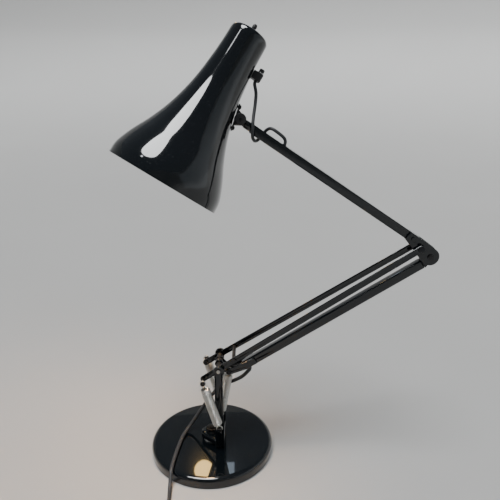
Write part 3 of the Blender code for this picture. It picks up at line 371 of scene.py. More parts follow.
def mix_enamel(name, colour, rough):
    enamel = Finish(name)
    patches = enamel.ramp(enamel.noise(14, detail=4), low=0.35, high=0.72)
    specks = enamel.ramp(enamel.noise(620, detail=2), low=0.66, high=0.74)
    dust = specks * enamel.noise(35) ** 2
    lighter = tuple(level + DUST_LIGHTER for level in colour)
    return enamel.done(
        Base_Color=enamel.blend(dust, colour, lighter),
        Roughness=rough + patches * PATCH_ROUGHER + dust * DUST_ROUGHER,
        Normal=enamel.bump(enamel.noise(420, detail=2), strength=0.05, distance=0.0002),
        Coat_Weight=1.0,
        Coat_Roughness=0.025,
        Specular_IOR_Level=0.08,
    )


finishes["enamel"] = mix_enamel("gloss_black_enamel", (0.0018, 0.0030, 0.0042), rough=0.10)
finishes["enamel_inside"] = mix_enamel("white_enamel", (0.80, 0.79, 0.75), rough=0.28)
print("enamels", [finish.name for finish in finishes.values()])

# %% [markdown]
# ### Metals
# Zinc plate on pins and nuts is grey and slightly cloudy. Spring wire is drawn through a die, so
# its fine lines run along it. The shader's anisotropic setting could stretch the highlights, but
# it draws no lines. So a fine noise, squeezed along Z, gives the lines, and a slow one the clouds.

# %% Metals
LINES_ROUGHER = 0.14
CLOUDS_ROUGHER = 0.08
CLOUDS_TINT = 0.6


def mix_metal(name, colour, tint, rough, grain):
    metal = Finish(name)
    clouds = metal.ramp(metal.noise(90, detail=4), low=0.3, high=0.75)
    lines = metal.noise(900, detail=2, stretch=(1, 1, grain))
    return metal.done(
        Base_Color=metal.blend(clouds * CLOUDS_TINT, colour, tint),
        Metallic=1.0,
        Roughness=rough + lines * LINES_ROUGHER + clouds * CLOUDS_ROUGHER,
        Normal=metal.bump(lines, strength=0.12, distance=0.0001),
    )


finishes["zinc"] = mix_metal(
    "zinc_plate", (0.50, 0.50, 0.49), tint=(0.36, 0.35, 0.33), rough=0.18, grain=6
)
finishes["blackened"] = mix_metal(
    "blackened_steel", (0.030, 0.031, 0.034), tint=(0.055, 0.052, 0.048), rough=0.24, grain=4
)
finishes["spring"] = mix_metal(
    "spring_wire", (0.66, 0.65, 0.62), tint=(0.42, 0.40, 0.36), rough=0.20, grain=3
)
finishes["brass"] = mix_metal(
    "brass_cap", (0.72, 0.60, 0.36), tint=(0.52, 0.43, 0.28), rough=0.24, grain=5
)
finishes["cast"] = mix_metal(
    "cast_iron", (0.10, 0.10, 0.10), tint=(0.06, 0.055, 0.05), rough=0.60, grain=1
)
print("metals ready")

# %% [markdown]
# ### Plastics and flex
# Moulded parts have the fine grain of a spark-eroded mould. The flex is soft PVC, duller than the
# moulded parts. A noise bump at the grain's own scale gives both, and one recipe serves for all of
# them, because they differ only in colour, gloss and grain.

# %% Plastics and flex
LIGHTEST_SHARE = 1.35
LIGHTEST_LIFT = 0.004
GRAIN_ROUGHER = 0.12
SLOW_ROUGHER = 0.06


def mix_plastic(name, colour, rough, grain, depth):
    plastic = Finish(name)
    fine = plastic.noise(grain)
    slow = plastic.noise(60)
    lighter = tuple(level * LIGHTEST_SHARE + LIGHTEST_LIFT for level in colour)
    return plastic.done(
        Base_Color=plastic.blend(slow, colour, lighter),
        Roughness=rough + fine * GRAIN_ROUGHER + slow * SLOW_ROUGHER,
        Normal=plastic.bump(fine, strength=0.18, distance=depth),
        Specular_IOR_Level=0.32,
    )


finishes["black_plastic"] = mix_plastic(
    "black_moulding", (0.012, 0.012, 0.013), rough=0.28, grain=1600, depth=0.0002
)
finishes["grey_nylon"] = mix_plastic(
    "grey_nylon", (0.36, 0.36, 0.35), rough=0.38, grain=900, depth=0.0002
)
finishes["phenolic"] = mix_plastic(
    "phenolic_moulding", (0.016, 0.013, 0.012), rough=0.20, grain=700, depth=0.0001
)
finishes["flex"] = mix_plastic(
    "flex_sheath", (0.020, 0.021, 0.023), rough=0.36, grain=700, depth=0.0003
)
finishes["rubber"] = mix_plastic(
    "rubber", (0.014, 0.014, 0.015), rough=0.55, grain=1100, depth=0.0003
)
print(len(finishes), "finishes so far")

# %% [markdown]
# ### Felt
# The pad under the base is a mat of fibres. Particle hair would show each fibre, at a great cost
# for a pad that faces the desk. A bump at two scales and a little sheen say the same.


# %% Felt
def mix_felt():
    felt = Finish("black_felt")
    fibres = felt.noise(1500, detail=4, stretch=(1, 1, 0.3))
    clumps = felt.noise(260, detail=4)
    return felt.done(
        Base_Color=felt.blend(fibres, (0.010, 0.010, 0.011), (0.045, 0.045, 0.05)),
        Roughness=0.85 + clumps * 0.1,
        Normal=felt.bump(fibres + clumps, strength=0.7, distance=0.0006),
        Sheen_Weight=0.3,
    )


finishes["felt"] = mix_felt()
print("felt ready")

# %% [markdown]
# ### Frosted bulb
# The bulb is frosted glass with a warm light inside. Real glass round a filament takes many light
# paths and stays noisy. A pale surface that glows by itself looks the same when lit.


# %% Bulb glass
def mix_bulb():
    glass = Finish("frosted_bulb")
    haze = glass.noise(40)
    return glass.done(
        Base_Color=glass.blend(haze, (0.92, 0.88, 0.80), (0.98, 0.95, 0.88)),
        Roughness=0.32 + haze * 0.1,
        Emission_Color=glass.blend(haze, (1.0, 0.66, 0.36), (1.0, 0.74, 0.45)),
        Emission_Strength=5.0,
    )


finishes["bulb"] = mix_bulb()
print(len(finishes), "finishes")

# %% [markdown]
# ## Dressing a piece of the frame
# Most shapes of the frame are right already, but a machined or moulded edge is never perfectly
# sharp. Remodelling each one would only copy it. So a piece is copied, its loose triangles are
# joined up, its flat faces are made whole again, and a fine bevel catches the light.

# %% Dressing tool
SAME_POINT = 0.005 * MM
STILL_FLAT = math.radians(0.5)
EDGE_WIDTH = 0.25 * MM
SHARP_EDGE = math.radians(38)


def dress(node, finish):
    source = frame["nodes"][node]
    made = add_object("fine_" + node, source.data.copy())
    made.data.materials.clear()
    take(made)
    bpy.ops.object.mode_set(mode="EDIT")
    bpy.ops.mesh.select_all(action="SELECT")
    bpy.ops.mesh.remove_doubles(threshold=SAME_POINT)
    bpy.ops.mesh.dissolve_limited(angle_limit=STILL_FLAT)
    bpy.ops.object.mode_set(mode="OBJECT")
    if made.data.has_custom_normals:
        bpy.ops.mesh.customdata_custom_splitnormals_clear()
    apply_modifier(
        made, "BEVEL", width=EDGE_WIDTH, segments=2, limit_method="ANGLE", angle_limit=SHARP_EDGE
    )
    smooth(made)
    made.data.materials.append(finishes[finish])
    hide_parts(node)
    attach(made, source["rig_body"])
    return made


print("dressing tool ready")

# %% [markdown]
# ## The mains cord
# The flex comes out of the push tube by its grommet, in a short loop, goes down through the fork,
# over the base and forward along the desk. Cord physics could drop it there, but it would fall a
# little differently each time the scene changes. So its points are chosen, along the frame's plain
# tube, and a smooth line joins them.

# %% Route of the mains cord
CORD_DIAMETER = 5.4 * MM
cord_radius = CORD_DIAMETER / 2
GROMMET_ALONG = 26.5
TUBE_BELOW_PIN = 4.8
HALF_TUBE = 6.0
GROMMET_BELOW = TUBE_BELOW_PIN + HALF_TUBE
main_pivot = Vector(joints["lower_arm_tilt"]["pos_m"])
elbow = Vector(joints["upper_arm_tilt"]["pos_m"])
push_pivot = middle_of("crank_pin")
lower_along = (elbow - main_pivot).normalized()
lower_up = Vector((-lower_along.z, 0, lower_along.x))
tube_exit = push_pivot + lower_along * GROMMET_ALONG * MM - lower_up * GROMMET_BELOW * MM
cord_out = [tube_exit + lower_up * 3 * MM, tube_exit - lower_up * 4 * MM]
CORD_LOOP = (
    (54.5, 0.8, 130.5), (50.0, 1.8, 124.5), (43.5, 4.0, 117.5), (33.0, 8.0, 109.5),
    (22.0, 12.0, 102.5), (11.0, 15.5, 93.0), (1.0, 17.5, 80.5), (-9.0, 18.3, 65.5),
    (-17.0, 18.8, 52.5), (-24.5, 18.8, 40.0), (-32.0, 17.0, 28.5), (-39.0, 11.5, 20.9),
)
CORD_OVER_BASE = (
    (-43.5, 0.0, 19.1), (-46.5, -16.0, 19.1), (-49.9, -44.6, 19.1), (-51.4, -62.0, 19.3),
    (-52.0, -73.5, 17.9), (-52.2, -82.0, 11.0), (-52.1, -89.5, 5.2),
)
CORD_ON_DESK = ((-51.6, -99.0, 3.05), (-50.6, -112.0, 3.05), (-50.1, -132.0, 3.05))
cord_route = [Vector(point) * MM for point in CORD_LOOP + CORD_OVER_BASE + CORD_ON_DESK]
print("cord leaves the tube at", [round(x, 4) for x in tube_exit])

# %% [markdown]
# ### The coil
# What is left of the cord's length is a neat coil of four layers, tied, and it ends in its plug. A
# ring could stand for the coil, but real flex has its length in its turns, so the coil is drawn
# turn by turn: in, up, out, up, in, up and out again.

# %% Turns of the coil
COIL_TURNS = 7.25
COIL_LAYERS = 4
CLIMB_TURNS = 0.2
POINTS_A_TURN = 24
COIL_MIDDLE = 31.8 * MM
COIL_SPREAD = 4.6 * MM
coil_outer = COIL_MIDDLE + COIL_SPREAD
coil_inner = COIL_MIDDLE - COIL_SPREAD
LAYER_HEIGHT = 5.45 * MM
first_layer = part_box("mains_cord_coil")[0].z + cord_radius + 0.1 * MM
coil_centre = middle_of("mains_cord_coil")


def coil_points():
    """The coil, turn by turn: four layers, with a short climb between them."""
    layer_turns = (COIL_TURNS - (COIL_LAYERS - 1) * CLIMB_TURNS) / COIL_LAYERS
    points = []
    steps = round(COIL_TURNS * POINTS_A_TURN)
    for step in range(steps + 1):
        done = COIL_TURNS * step / steps
        layer = min(int(done / (layer_turns + CLIMB_TURNS)), COIL_LAYERS - 1)
        inside = done - layer * (layer_turns + CLIMB_TURNS)
        inwards = layer % 2 == 0
        start, end = (coil_outer, coil_inner) if inwards else (coil_inner, coil_outer)
        radius = start + (end - start) * min(1, inside / layer_turns)
        rise = max(0, min(1, (inside - layer_turns) / CLIMB_TURNS))
        rise = rise * rise * (3 - 2 * rise)
        height = first_layer + LAYER_HEIGHT * (layer + rise)
        angle = math.pi + math.tau * done
        spot = Vector((math.cos(angle) * radius, math.sin(angle) * radius, 0))
        points.append(Vector((coil_centre.x, coil_centre.y, height)) + spot)
    return points


coiled = coil_points()
BEFORE_COIL = 14 * MM
coil_entry = Vector((coil_centre.x - coil_outer, coil_centre.y + BEFORE_COIL, first_layer))
print("coil of", COIL_TURNS, "turns,", round(line_length(coiled), 3), "m")

# %% Whole cord
CORD_STEP = 3.2 * MM
last = coiled[-1]
plug_mouth = middle_of("plug")
plug_mouth.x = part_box("plug")[0].x
cord_tail = [
    Vector((last.x + 9 * MM, plug_mouth.y, last.z - 1.6 * MM)),
    Vector((last.x + 15 * MM, plug_mouth.y, last.z - 6.2 * MM)),
    plug_mouth + Vector((-1, 0, 1.2)) * MM,
    plug_mouth + Vector((4, 0, 0)) * MM,
]
whole_route = cord_out + cord_route + [coil_entry] + coiled[1:] + cord_tail
cord_line = smooth_line(whole_route, CORD_STEP)
cord_total = line_length(cord_line)
mains_flex = round_wire("mains_flex", cord_line, cord_radius, resolution=4)
mains_flex.data.materials.append(finishes["flex"])
print("mains flex", round(cord_total, 4), "m,", len(cord_line), "points")

# %% [markdown]
# The cord's first stretch leaves the lower arm, and the rest stays where it lies. It could be split
# there, but a split would open as the arm tilts. So it is kept as one piece, left where it is laid,
# while its plug and tie are dressed and the frame's own cord is hidden.

# %% Lay the mains cord in place
cord_pieces = [dress(node, "black_plastic") for node in ("plug", "cord_tie")]
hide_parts("mains_cord", "mains_cord_coil")
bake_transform(mains_flex)
print("mains flex handed over with", [piece.name for piece in cord_pieces])

# %% [markdown]
# ## The shade's lead
# A thinner flex leaves the grip on the shade's neck, drops beside the stem, curls once under the arm
# so that the shade can turn, and goes into the top of the upper tube. One smooth line is drawn and
# parted beside the stem, into an upper and a lower length.

# %% Where the lead runs
knuckle = Vector(joints["shade_tilt"]["pos_m"])
shade_up = -Vector(joints["button_press"]["axis"]).normalized()
bolt_axis = Vector(joints["shade_tilt"]["axis"]).normalized()
shade_out = bolt_axis.cross(shade_up).normalized()
arm_along = Vector(joints["shade_roll"]["axis"]).normalized()
arm_top = Vector((arm_along.z, 0, -arm_along.x))
shade_space = Matrix((shade_out, bolt_axis, shade_up)).transposed().to_4x4()
shade_space = Matrix.Translation(knuckle) @ shade_space
LEAD_DIAMETER = 4.2 * MM
lead_radius = LEAD_DIAMETER / 2
HOLE_BEFORE_KNUCKLE = 64
HOLE_ABOVE_ARM = 5.75
GRIP_MOUTH = (6.8 * MM, 0, 51 * MM)
lead_hole = knuckle - arm_along * HOLE_BEFORE_KNUCKLE * MM + arm_top * HOLE_ABOVE_ARM * MM
grip_exit = shade_space @ Vector(GRIP_MOUTH)
BESIDE_STEM = ((64.4, 9.9, 516.0), (63.4, 5.0, 503.0), (61.6, -1.5, 491.0), (60.6, -6.5, 482.5))
UNDER_ARM = (
    (60.5, -8.0, 479.0), (60.0, -9.3, 471.0), (60.5, -7.0, 463.5), (63.5, 1.5, 458.8),
    (68.5, 8.8, 460.5), (74.0, 10.8, 467.3), (80.5, 7.0, 473.2), (86.5, 2.6, 472.6),
)
INTO_TUBE = ((8.0, 7.4), (2.6, 5.0), (0.2, 0.6), (-0.4, -2.8))
upper_route = [grip_exit + shade_up * 2.5 * MM, grip_exit - shade_up * 3.2 * MM]
upper_route += [Vector(point) * MM for point in BESIDE_STEM]
lower_route = [Vector(point) * MM for point in UNDER_ARM]
lower_route += [lead_hole + (arm_along * a + arm_top * b) * MM for a, b in INTO_TUBE]
print("lead from", [round(x, 4) for x in grip_exit], "to", [round(x, 4) for x in lead_hole])

# %% Lead in two lengths
LEAD_STEP = 1.8 * MM
lead_line = smooth_line(upper_route + lower_route, LEAD_STEP)
meeting = min(range(len(lead_line)), key=lambda at: (lead_line[at] - lower_route[0]).length)
upper_line = lead_line[: meeting + 1]
lower_line = lead_line[meeting:]
upper_lead = round_wire("shade_flex_upper", upper_line, lead_radius, resolution=4)
lower_lead = round_wire("shade_flex_lower", lower_line, lead_radius, resolution=4)
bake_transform(upper_lead)
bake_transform(lower_lead)
for piece, node, line in (
    (upper_lead, "shade_lead_upper", upper_line),
    (lower_lead, "shade_lead_lower", lower_line),
):
    piece.data.materials.append(finishes["flex"])
    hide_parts(node)
    round(line_length(line), 4)
    print(piece.name, round(line_length(line), 4), "m")

# %% [markdown]
# ## Turned shapes
# The shade, the base, the bulb, its holder and the button are all round about one axis. Spin could
# sweep a profile round, but it leaves a seam to close and may turn the shape inside out. Instead a
# ring of edges is lifted and scaled, step by step, through rings of a given radius and height.

# %% Raise a stack of rings
SAME_HEIGHT = 1e-6
SAME_RADIUS = 1e-5


def on_ring(spot, radius, height):
    level = abs(spot.z - height) < SAME_HEIGHT
    return level and abs(spot.xy.length - radius) < SAME_RADIUS


def raise_rings(name, rings, around, foot=False, roof=False):
    """Lifts a ring of edges through (radius, height) steps. foot and roof close the ends."""
    clear_selection()
    radius, height = rings[0]
    bpy.ops.mesh.primitive_circle_add(vertices=around, radius=radius, fill_type="NOTHING")
    made = name_it(name)
    bpy.ops.object.mode_set(mode="EDIT")
    bpy.ops.mesh.select_all(action="SELECT")
    bpy.ops.transform.translate(value=(0, 0, height))
    if foot:
        bpy.ops.mesh.edge_face_add()
    for wide, high in rings[1:]:
        choose(made, lambda spot: on_ring(spot, radius, height), "VERT")
        lift = (0, 0, high - height)
        bpy.ops.mesh.extrude_edges_move(TRANSFORM_OT_translate={"value": lift})
        spread = (wide / radius, wide / radius, 1)
        bpy.ops.transform.resize(value=spread, center_override=(0, 0, high))
        radius, height = wide, high
    if roof:
        bpy.ops.mesh.edge_face_add()
    bpy.ops.mesh.select_all(action="SELECT")
    bpy.ops.mesh.normals_make_consistent(inside=False)
    bpy.ops.object.mode_set(mode="OBJECT")
    return made


def in_mm(rings):
    return [(wide * MM, high * MM) for wide, high in rings]


def bend(middle, height, radius, degrees):
    """Rings round a bend: middle is the radius at which the bend's own middle lies."""
    turns = [math.radians(angle) for angle in degrees]
    return [(middle + radius * math.cos(a), height + radius * math.sin(a)) for a in turns]


print("ring tool ready")

# %% [markdown]
# ## The bell shade
# The real one is spun from sheet over a former, in a curve that is nearly straight up the neck and
# opens fast at the mouth. A few points say how much of the flare is left at each share of the
# height. Straight lines between them would break the long reflection into bands, so a smooth curve
# goes through them.

# %% Curve of the bell
BELL_CURVE = (
    (0, 1.0), (0.06, 0.985), (0.11, 0.92), (0.19, 0.77), (0.285, 0.565), (0.40, 0.365),
    (0.52, 0.215), (0.63, 0.12), (0.75, 0.058), (0.86, 0.02), (1.0, 0.0),
)
SHADE_LENGTH = 211 * MM
MOUTH_RADIUS = 73.5 * MM
CAP_RADIUS = 24.6 * MM
CAP_EDGE = 5 * MM


def bell_radius(height):
    """The bell's radius at a height over its mouth, on a smooth curve through the points."""
    share = min(1, max(0, height / SHADE_LENGTH))
    final = len(BELL_CURVE) - 1
    index = max(i for i in range(final) if BELL_CURVE[i][0] <= share)
    (xa, ya), (xb, yb) = BELL_CURVE[max(index - 1, 0)], BELL_CURVE[index]
    (xc, yc), (xd, yd) = BELL_CURVE[index + 1], BELL_CURVE[min(index + 2, final)]
    slope_b = (yc - ya) / (xc - xa)
    slope_c = (yd - yb) / (xd - xb)
    width = xc - xb
    t = (share - xb) / width
    flare = yb * (1 + 2 * t) * (1 - t) ** 2 + slope_b * width * t * (1 - t) ** 2
    flare += yc * t**2 * (3 - 2 * t) + slope_c * width * t**2 * (t - 1)
    return CAP_RADIUS + (MOUTH_RADIUS - CAP_RADIUS) * flare


print("bell radius half way up", round(bell_radius(SHADE_LENGTH / 2), 4), "m")

# %% [markdown]
# The bell's outside is raised first. A Solidify modifier then gives the sheet its thickness,
# inwards, and puts the white enamel on the inside. Two shells could be raised instead, but then
# the rim between them would have to be bridged.

# %% Raise the bell
MOUTH_FROM_KNUCKLE = (41.5 * MM, 0, -115 * MM)
BELL_STEPS = 40
CAP_BENDS = (15, 30, 45, 60, 75, 90)
SHEET = 1.2 * MM
BUTTON_HOLE = 3.6 * MM
HAIR = 0.01 * MM
shade_axis = shade_space @ Matrix.Translation(MOUTH_FROM_KNUCKLE)
straight = SHADE_LENGTH - CAP_EDGE
levels = [straight * step / BELL_STEPS for step in range(BELL_STEPS + 1)]
bell_rings = [(bell_radius(level), level) for level in levels]
bell_rings += bend(CAP_RADIUS - CAP_EDGE, straight, CAP_EDGE, CAP_BENDS)
bell_rings.append((CAP_RADIUS - CAP_EDGE - 6 * MM, SHADE_LENGTH + HAIR))
bell_rings.append((BUTTON_HOLE, SHADE_LENGTH + 2 * HAIR))
shade = raise_rings("bell_shade", bell_rings, around=112)
shade.data.materials.append(finishes["enamel"])
shade.data.materials.append(finishes["enamel_inside"])
apply_modifier(
    shade, "SOLIDIFY", thickness=SHEET, offset=-1, material_offset=1, use_even_offset=True
)
smooth(shade)
settle(shade, shade_axis)
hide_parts("shade_shell")
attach(shade, "shade")
print("shade", len(shade.data.polygons), "faces")

# %% [markdown]
# ## The base
# The base is a shallow pan pressed from sheet, turned over a heavy disc. The frame's own pan could
# be dressed like the other pieces, but a gloss surface shows every long thin face. So it is raised
# like the shade, with a ring close to each side of the bend to keep the flat part truly flat.

# %% Base pan
PAN_RADIUS = 90 * MM
PAN_HEIGHT = 16 * MM
PAN_EDGE = 6 * MM
PAN_WALL = 2.2 * MM
pan_rings = [(PAN_RADIUS, 1 * MM), (PAN_RADIUS, 4 * MM)]
pan_rings += [(PAN_RADIUS, PAN_HEIGHT - PAN_EDGE - 0.5 * MM)]
pan_bends = [90 * step / 12 for step in range(13)]
pan_rings += bend(PAN_RADIUS - PAN_EDGE, PAN_HEIGHT - PAN_EDGE, PAN_EDGE, pan_bends)
pan_rings += [(wide * MM, PAN_HEIGHT) for wide in (83.4, 70, 50, 30, 15, 8.6, 8.0)]
pan = raise_rings("base_pan", pan_rings, around=128)
apply_modifier(pan, "SOLIDIFY", thickness=PAN_WALL, offset=-1, use_even_offset=True)
smooth(pan)
settle(pan)
pan.data.materials.append(finishes["enamel"])
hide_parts("base_shell")
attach(pan, frame["nodes"]["base_shell"]["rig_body"])
print("base pan", len(pan.data.polygons), "faces")

# %% [markdown]
# ## The bulb
# A frosted bulb hangs in the shade, its globe towards the mouth. Only the view from below shows
# it, but its warm light shows from everywhere. A sphere could stand for its globe, but the neck
# has to flow out of it, so both are one stack of rings with one level of subdivision.

# %% Bulb
GLOBE_RADIUS = 29 * MM
GLOBE_MIDDLE = 92.5 * MM + 5 * MM
BULB_NECK = ((17.6, 122.6), (14.8, 127.5), (13.2, 133), (12.6, 140), (12.6, 147))
bulb_rings = bend(0, GLOBE_MIDDLE, GLOBE_RADIUS, range(-84, 50, 8)) + in_mm(BULB_NECK)
bulb = raise_rings("bulb_glass", bulb_rings, around=48, foot=True, roof=True)
apply_modifier(bulb, "SUBSURF", levels=1, render_levels=1)
bulb.data.materials.append(finishes["bulb"])
smooth(bulb, 60)
settle(bulb, shade_axis)
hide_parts("bulb")
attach(bulb, "shade")
print("bulb", len(bulb.data.polygons), "faces")

# %% [markdown]
# Its brass cap has a rolled thread. A true helix would be finer than anyone sees in a dark holder,
# so each thread is a ring that swells and falls back.

# %% Bulb cap
THREADS = 7
cap_rings = [(12.4, 147.2)]
for thread in range(THREADS):
    low = 148 + thread * 3.0
    cap_rings += [(12.6, low), (13.0, low + 0.8), (12.6, low + 1.6), (12.0, low + 2.3)]
cap_rings += [(10.5, 170.5), (5.5, 173.2), (4.0, 174.4)]
screw_cap = raise_rings("bulb_cap", in_mm(cap_rings), around=40, foot=True, roof=True)
screw_cap.data.materials.append(finishes["brass"])
smooth(screw_cap, 30)
settle(screw_cap, shade_axis)
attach(screw_cap, "shade")
print("bulb cap", len(screw_cap.data.polygons), "faces")

# %% [markdown]
# ## The lampholder
# The holder is a moulded tube with grip ribs round its skirt. Each rib could be a bar of its own,
# set round in a ring. It is quicker, and truer to a moulding, to raise the tube as one stack of
# rings and to press in every other face of the skirt.

# %% Lampholder
HOLDER_SIDES = 64
SKIRT_FROM = 154 * MM
SKIRT_TO = 174 * MM
SKIRT_INSIDE = 16.5 * MM
RIB_EDGE = 0.2 * MM
PRESSED_IN = 0.4 * MM
HOLDER_RINGS = (
    (13.4, 172), (13.4, 150.6), (13.9, 149.8), (16.2, 149.8), (17.0, 150.6), (17.0, 153),
    (17.0, 175), (16.2, 177), (16.2, 196), (15.4, 203), (13.0, 208.6), (4.2, 209.2),
)
holder = raise_rings("lamp_holder", in_mm(HOLDER_RINGS), around=HOLDER_SIDES)


def skirt_rib(spot):
    """Every other face of the skirt's outside."""
    side = math.floor(math.atan2(spot.y, spot.x) / math.tau * HOLDER_SIDES)
    outside = spot.xy.length > SKIRT_INSIDE
    return SKIRT_FROM < spot.z < SKIRT_TO and outside and side % 2 == 0


take(holder)
bpy.ops.object.mode_set(mode="EDIT")
ribs = choose(holder, skirt_rib)
bpy.ops.mesh.inset(thickness=RIB_EDGE, depth=-PRESSED_IN, use_individual=True)
bpy.ops.object.mode_set(mode="OBJECT")
smooth(holder)
holder.data.materials.append(finishes["phenolic"])
settle(holder, shade_axis)
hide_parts("lampholder")
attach(holder, "shade")
print("lampholder with", ribs, "pressed faces")

# %% [markdown]
# ## The push button
# It stands out of the cap by its nut: a short turned pin with a domed head. A bevelled cylinder
# would have one even round, and the real head has a collar, a side and a dome, so it is a stack of
# rings too. The head stands clear of the nut by the button's travel.

# %% Push button
BUTTON_RINGS = (
    (2.0, 196), (2.3, 215.9), (2.3, 217.8), (2.9, 218.0), (2.9, 220.3), (2.75, 221.4),
    (2.3, 222.4), (1.4, 223.0),
)
push_button = raise_rings("push_button", in_mm(BUTTON_RINGS), around=40, foot=True, roof=True)
smooth(push_button)
push_button.data.materials.append(finishes["black_plastic"])
settle(push_button, shade_axis)
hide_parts("switch_button")
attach(push_button, "button")
print("button", len(push_button.data.polygons), "faces")

# %% [markdown]
# ## The springs
# Each is one wire: a hook, a neck that runs out to the coil's edge, some thirty turns, and the same
# again turned end for end. A Screw modifier could wind the turns, but not the hooks, and the joint
# between them would show. So the wire's whole middle line is worked out.

# %% Line of a spring's wire
WIRE_RADIUS = 0.9 * MM
HOOK_RADIUS = 4.1 * MM
SPRING_RADIUS = 5.85 * MM
NECK_LENGTH = 8.3 * MM
SPRING_TURNS = 31 + 110 / 360
FIRST_TURN = math.radians(215)
STEPS_A_TURN = 18
HOOK_START = 118
HOOK_SWEEP = 304
HOOK_STEPS = 25
FOOT_GAP = 0.6 * MM
HEAD_GAP = 1.0 * MM


def hook_line():
    """A hook, with its middle at the origin, and the neck from it to the coil."""
    turns = [math.radians(HOOK_START + HOOK_SWEEP * i / HOOK_STEPS) for i in range(HOOK_STEPS + 1)]
    points = [Vector((HOOK_RADIUS * math.cos(a), 0, HOOK_RADIUS * math.sin(a))) for a in turns]
    return points + [Vector((-0.9, -0.1, 5.2)) * MM, Vector((-3.4, -1.0, 6.6)) * MM]


def spring_line(length):
    """The wire's middle line, with the spring along Z and its hooks in the XZ plane."""
    low = FOOT_GAP
    high = length - HEAD_GAP
    start = low + NECK_LENGTH
    end = high - NECK_LENGTH
    line = [Vector((0, 0, low)) + point for point in hook_line()]
    steps = round(SPRING_TURNS * STEPS_A_TURN)
    for step in range(steps + 1):
        turn = FIRST_TURN + math.tau * SPRING_TURNS * step / steps
        height = start + (end - start) * step / steps
        spot = Vector((SPRING_RADIUS * math.cos(turn), SPRING_RADIUS * math.sin(turn), height))
        line.append(spot)
    line += [Vector((-point.x, point.y, high - point.z)) for point in reversed(hook_line())]
    return line


print("spring wire for 0.1 m:", round(line_length(spring_line(0.1)), 3), "m")

# %% [markdown]
# The two outer springs are the same, so one is wound and copied to the other side of the lamp. The
# middle one runs to another pin, so it is wound by itself. Each could be three pieces, with a hook
# at both ends of a coil, but they would part as an arm moves. Here each spring is one wire, coil and
# hooks together.

# %% Wind the springs
OUTER_SPRING_Y = 34.5 * MM
WIRE_STEP = 1.6 * MM


def wind_spring(name, foot, head):
    along = (head - foot).normalized()
    sideways = Vector((0, 1, 0))
    line = smooth_line(spring_line((head - foot).length), WIRE_STEP)
    made = round_wire(name, line, WIRE_RADIUS, resolution=2)
    made.data.materials.append(finishes["spring"])
    turned = Matrix((sideways.cross(along), sideways, along)).transposed().to_4x4()
    settle(made, Matrix.Translation(foot) @ turned)
    return made


def hand_over_spring(made, foot, head, bodies, nodes):
    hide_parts(*nodes)
    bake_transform(made)


anchor = Vector(joints["outer_spring_swing"]["pos_m"])
tail_eye = middle_of("tail_pin_front")
ends = {
    side: (Vector((anchor.x, y, anchor.z)), Vector((head.x, y, head.z)))
    for side, y, head in (
        ("front", -OUTER_SPRING_Y, tail_eye),
        ("rear", OUTER_SPRING_Y, tail_eye),
        ("middle", 0, push_pivot),
    )
}
front = wind_spring("wound_spring_front", *ends["front"])
rear = add_object("wound_spring_rear", front.data.copy())
settle(rear, Matrix.Translation((0, 2 * OUTER_SPRING_Y, 0)))
middle = wind_spring("wound_spring_middle", *ends["middle"])
outer_bodies = ("outer_springs", "outer_spring_eyes")
middle_bodies = ("middle_spring", "middle_spring_eye")
hand_over_spring(front, *ends["front"], outer_bodies, ("spring_front", "spring_front_eye"))
hand_over_spring(rear, *ends["rear"], outer_bodies, ("spring_rear", "spring_rear_eye"))
hand_over_spring(middle, *ends["middle"], middle_bodies, ("spring_middle", "spring_middle_eye"))
print("springs of", [len(spring.data.polygons) for spring in (front, rear, middle)], "faces")

# %% [markdown]
# ## The other pieces of the frame
# Plates and tubes are stoved with the shade's enamel. Pins are blackened, a few ends are plated,
# and knobs, spacers and caps are moulded. Each could have a cell of its own, but the same dressing
# serves for all, so a table says which finish each one takes.

# %% Dress the rest of the frame
ENAMELLED = (
    "saddle", "upright_front", "upright_rear", "link_bar_front", "link_bar_rear",
    "elbow_plate_front", "elbow_plate_rear", "elbow_rivet", "upper_tube", "crank_plate_front",
    "crank_plate_rear", "lower_tube", "tube_cheek_front", "tube_cheek_rear", "shade_stem",
    "anchor_axle",
)
PLATED = ("main_axle", "grip_washer", "switch_nut")
BLACKENED = (
    "swivel_spindle", "swivel_nut", "tail_pin_front", "tail_pin_rear", "elbow_pin", "push_pin",
    "crank_pin", "knuckle_bolt",
)
MOULDED = (
    "crank_hub", "tube_lug", "arm_end_plug", "bracket_screw_upper", "bracket_screw_lower",
    "knuckle_knob", "cord_grip", "grip_screw", "bar_spacer", "axle_spacer_front",
    "axle_spacer_rear",
)
DRESSING = (
    (ENAMELLED, "enamel", "enamel_steel"),
    (PLATED, "zinc", "zinc_steel"),
    (BLACKENED, "blackened", "zinc_steel"),
    (MOULDED, "black_plastic", "black_plastic"),
    (("shade_bracket",), "black_plastic", "enamel_steel"),
    (("swivel_bush",), "grey_nylon", "nylon"),
    (("cord_grommet",), "rubber", "cord_rubber"),
    (("base_weight",), "cast", "weight_iron"),
    (("base_pad",), "felt", "felt"),
)
dressed = [dress(node, finish) for nodes, finish, slot in DRESSING for node in nodes]
print(len(dressed), "pieces dressed")

# %% [markdown]
# ## The floor
# The lamp stands on a plain pale sheet that curves up at its edge. A flat plane would do for the
# shadow, but its far edge would show as a line in the gloss, so it is a wide bowl, raised like the
# shade and turned inside out. Its colour is painted lighter as it rises. This is painted light: it
# makes up for the lamps lighting the far, rising part less than the flat part.


# %% Floor
def mix_floor():
    floor = Finish("floor")
    tone = floor.noise(3, detail=2)
    height = floor.node("ShaderNodeSeparateXYZ", {}, {0: floor.place}, "Z")
    # painted light: the rising part of the bowl gets a lighter colour, so that it shows about as
    # bright as the lit flat part
    rise = floor.ramp(height, low=0.0, high=0.7)
    flat = floor.blend(tone, (0.31, 0.306, 0.30), (0.33, 0.326, 0.32))
    return floor.done(
        Base_Color=floor.blend(rise, flat, (0.50, 0.495, 0.485)),
        Roughness=0.55 + tone * 0.1,
    )


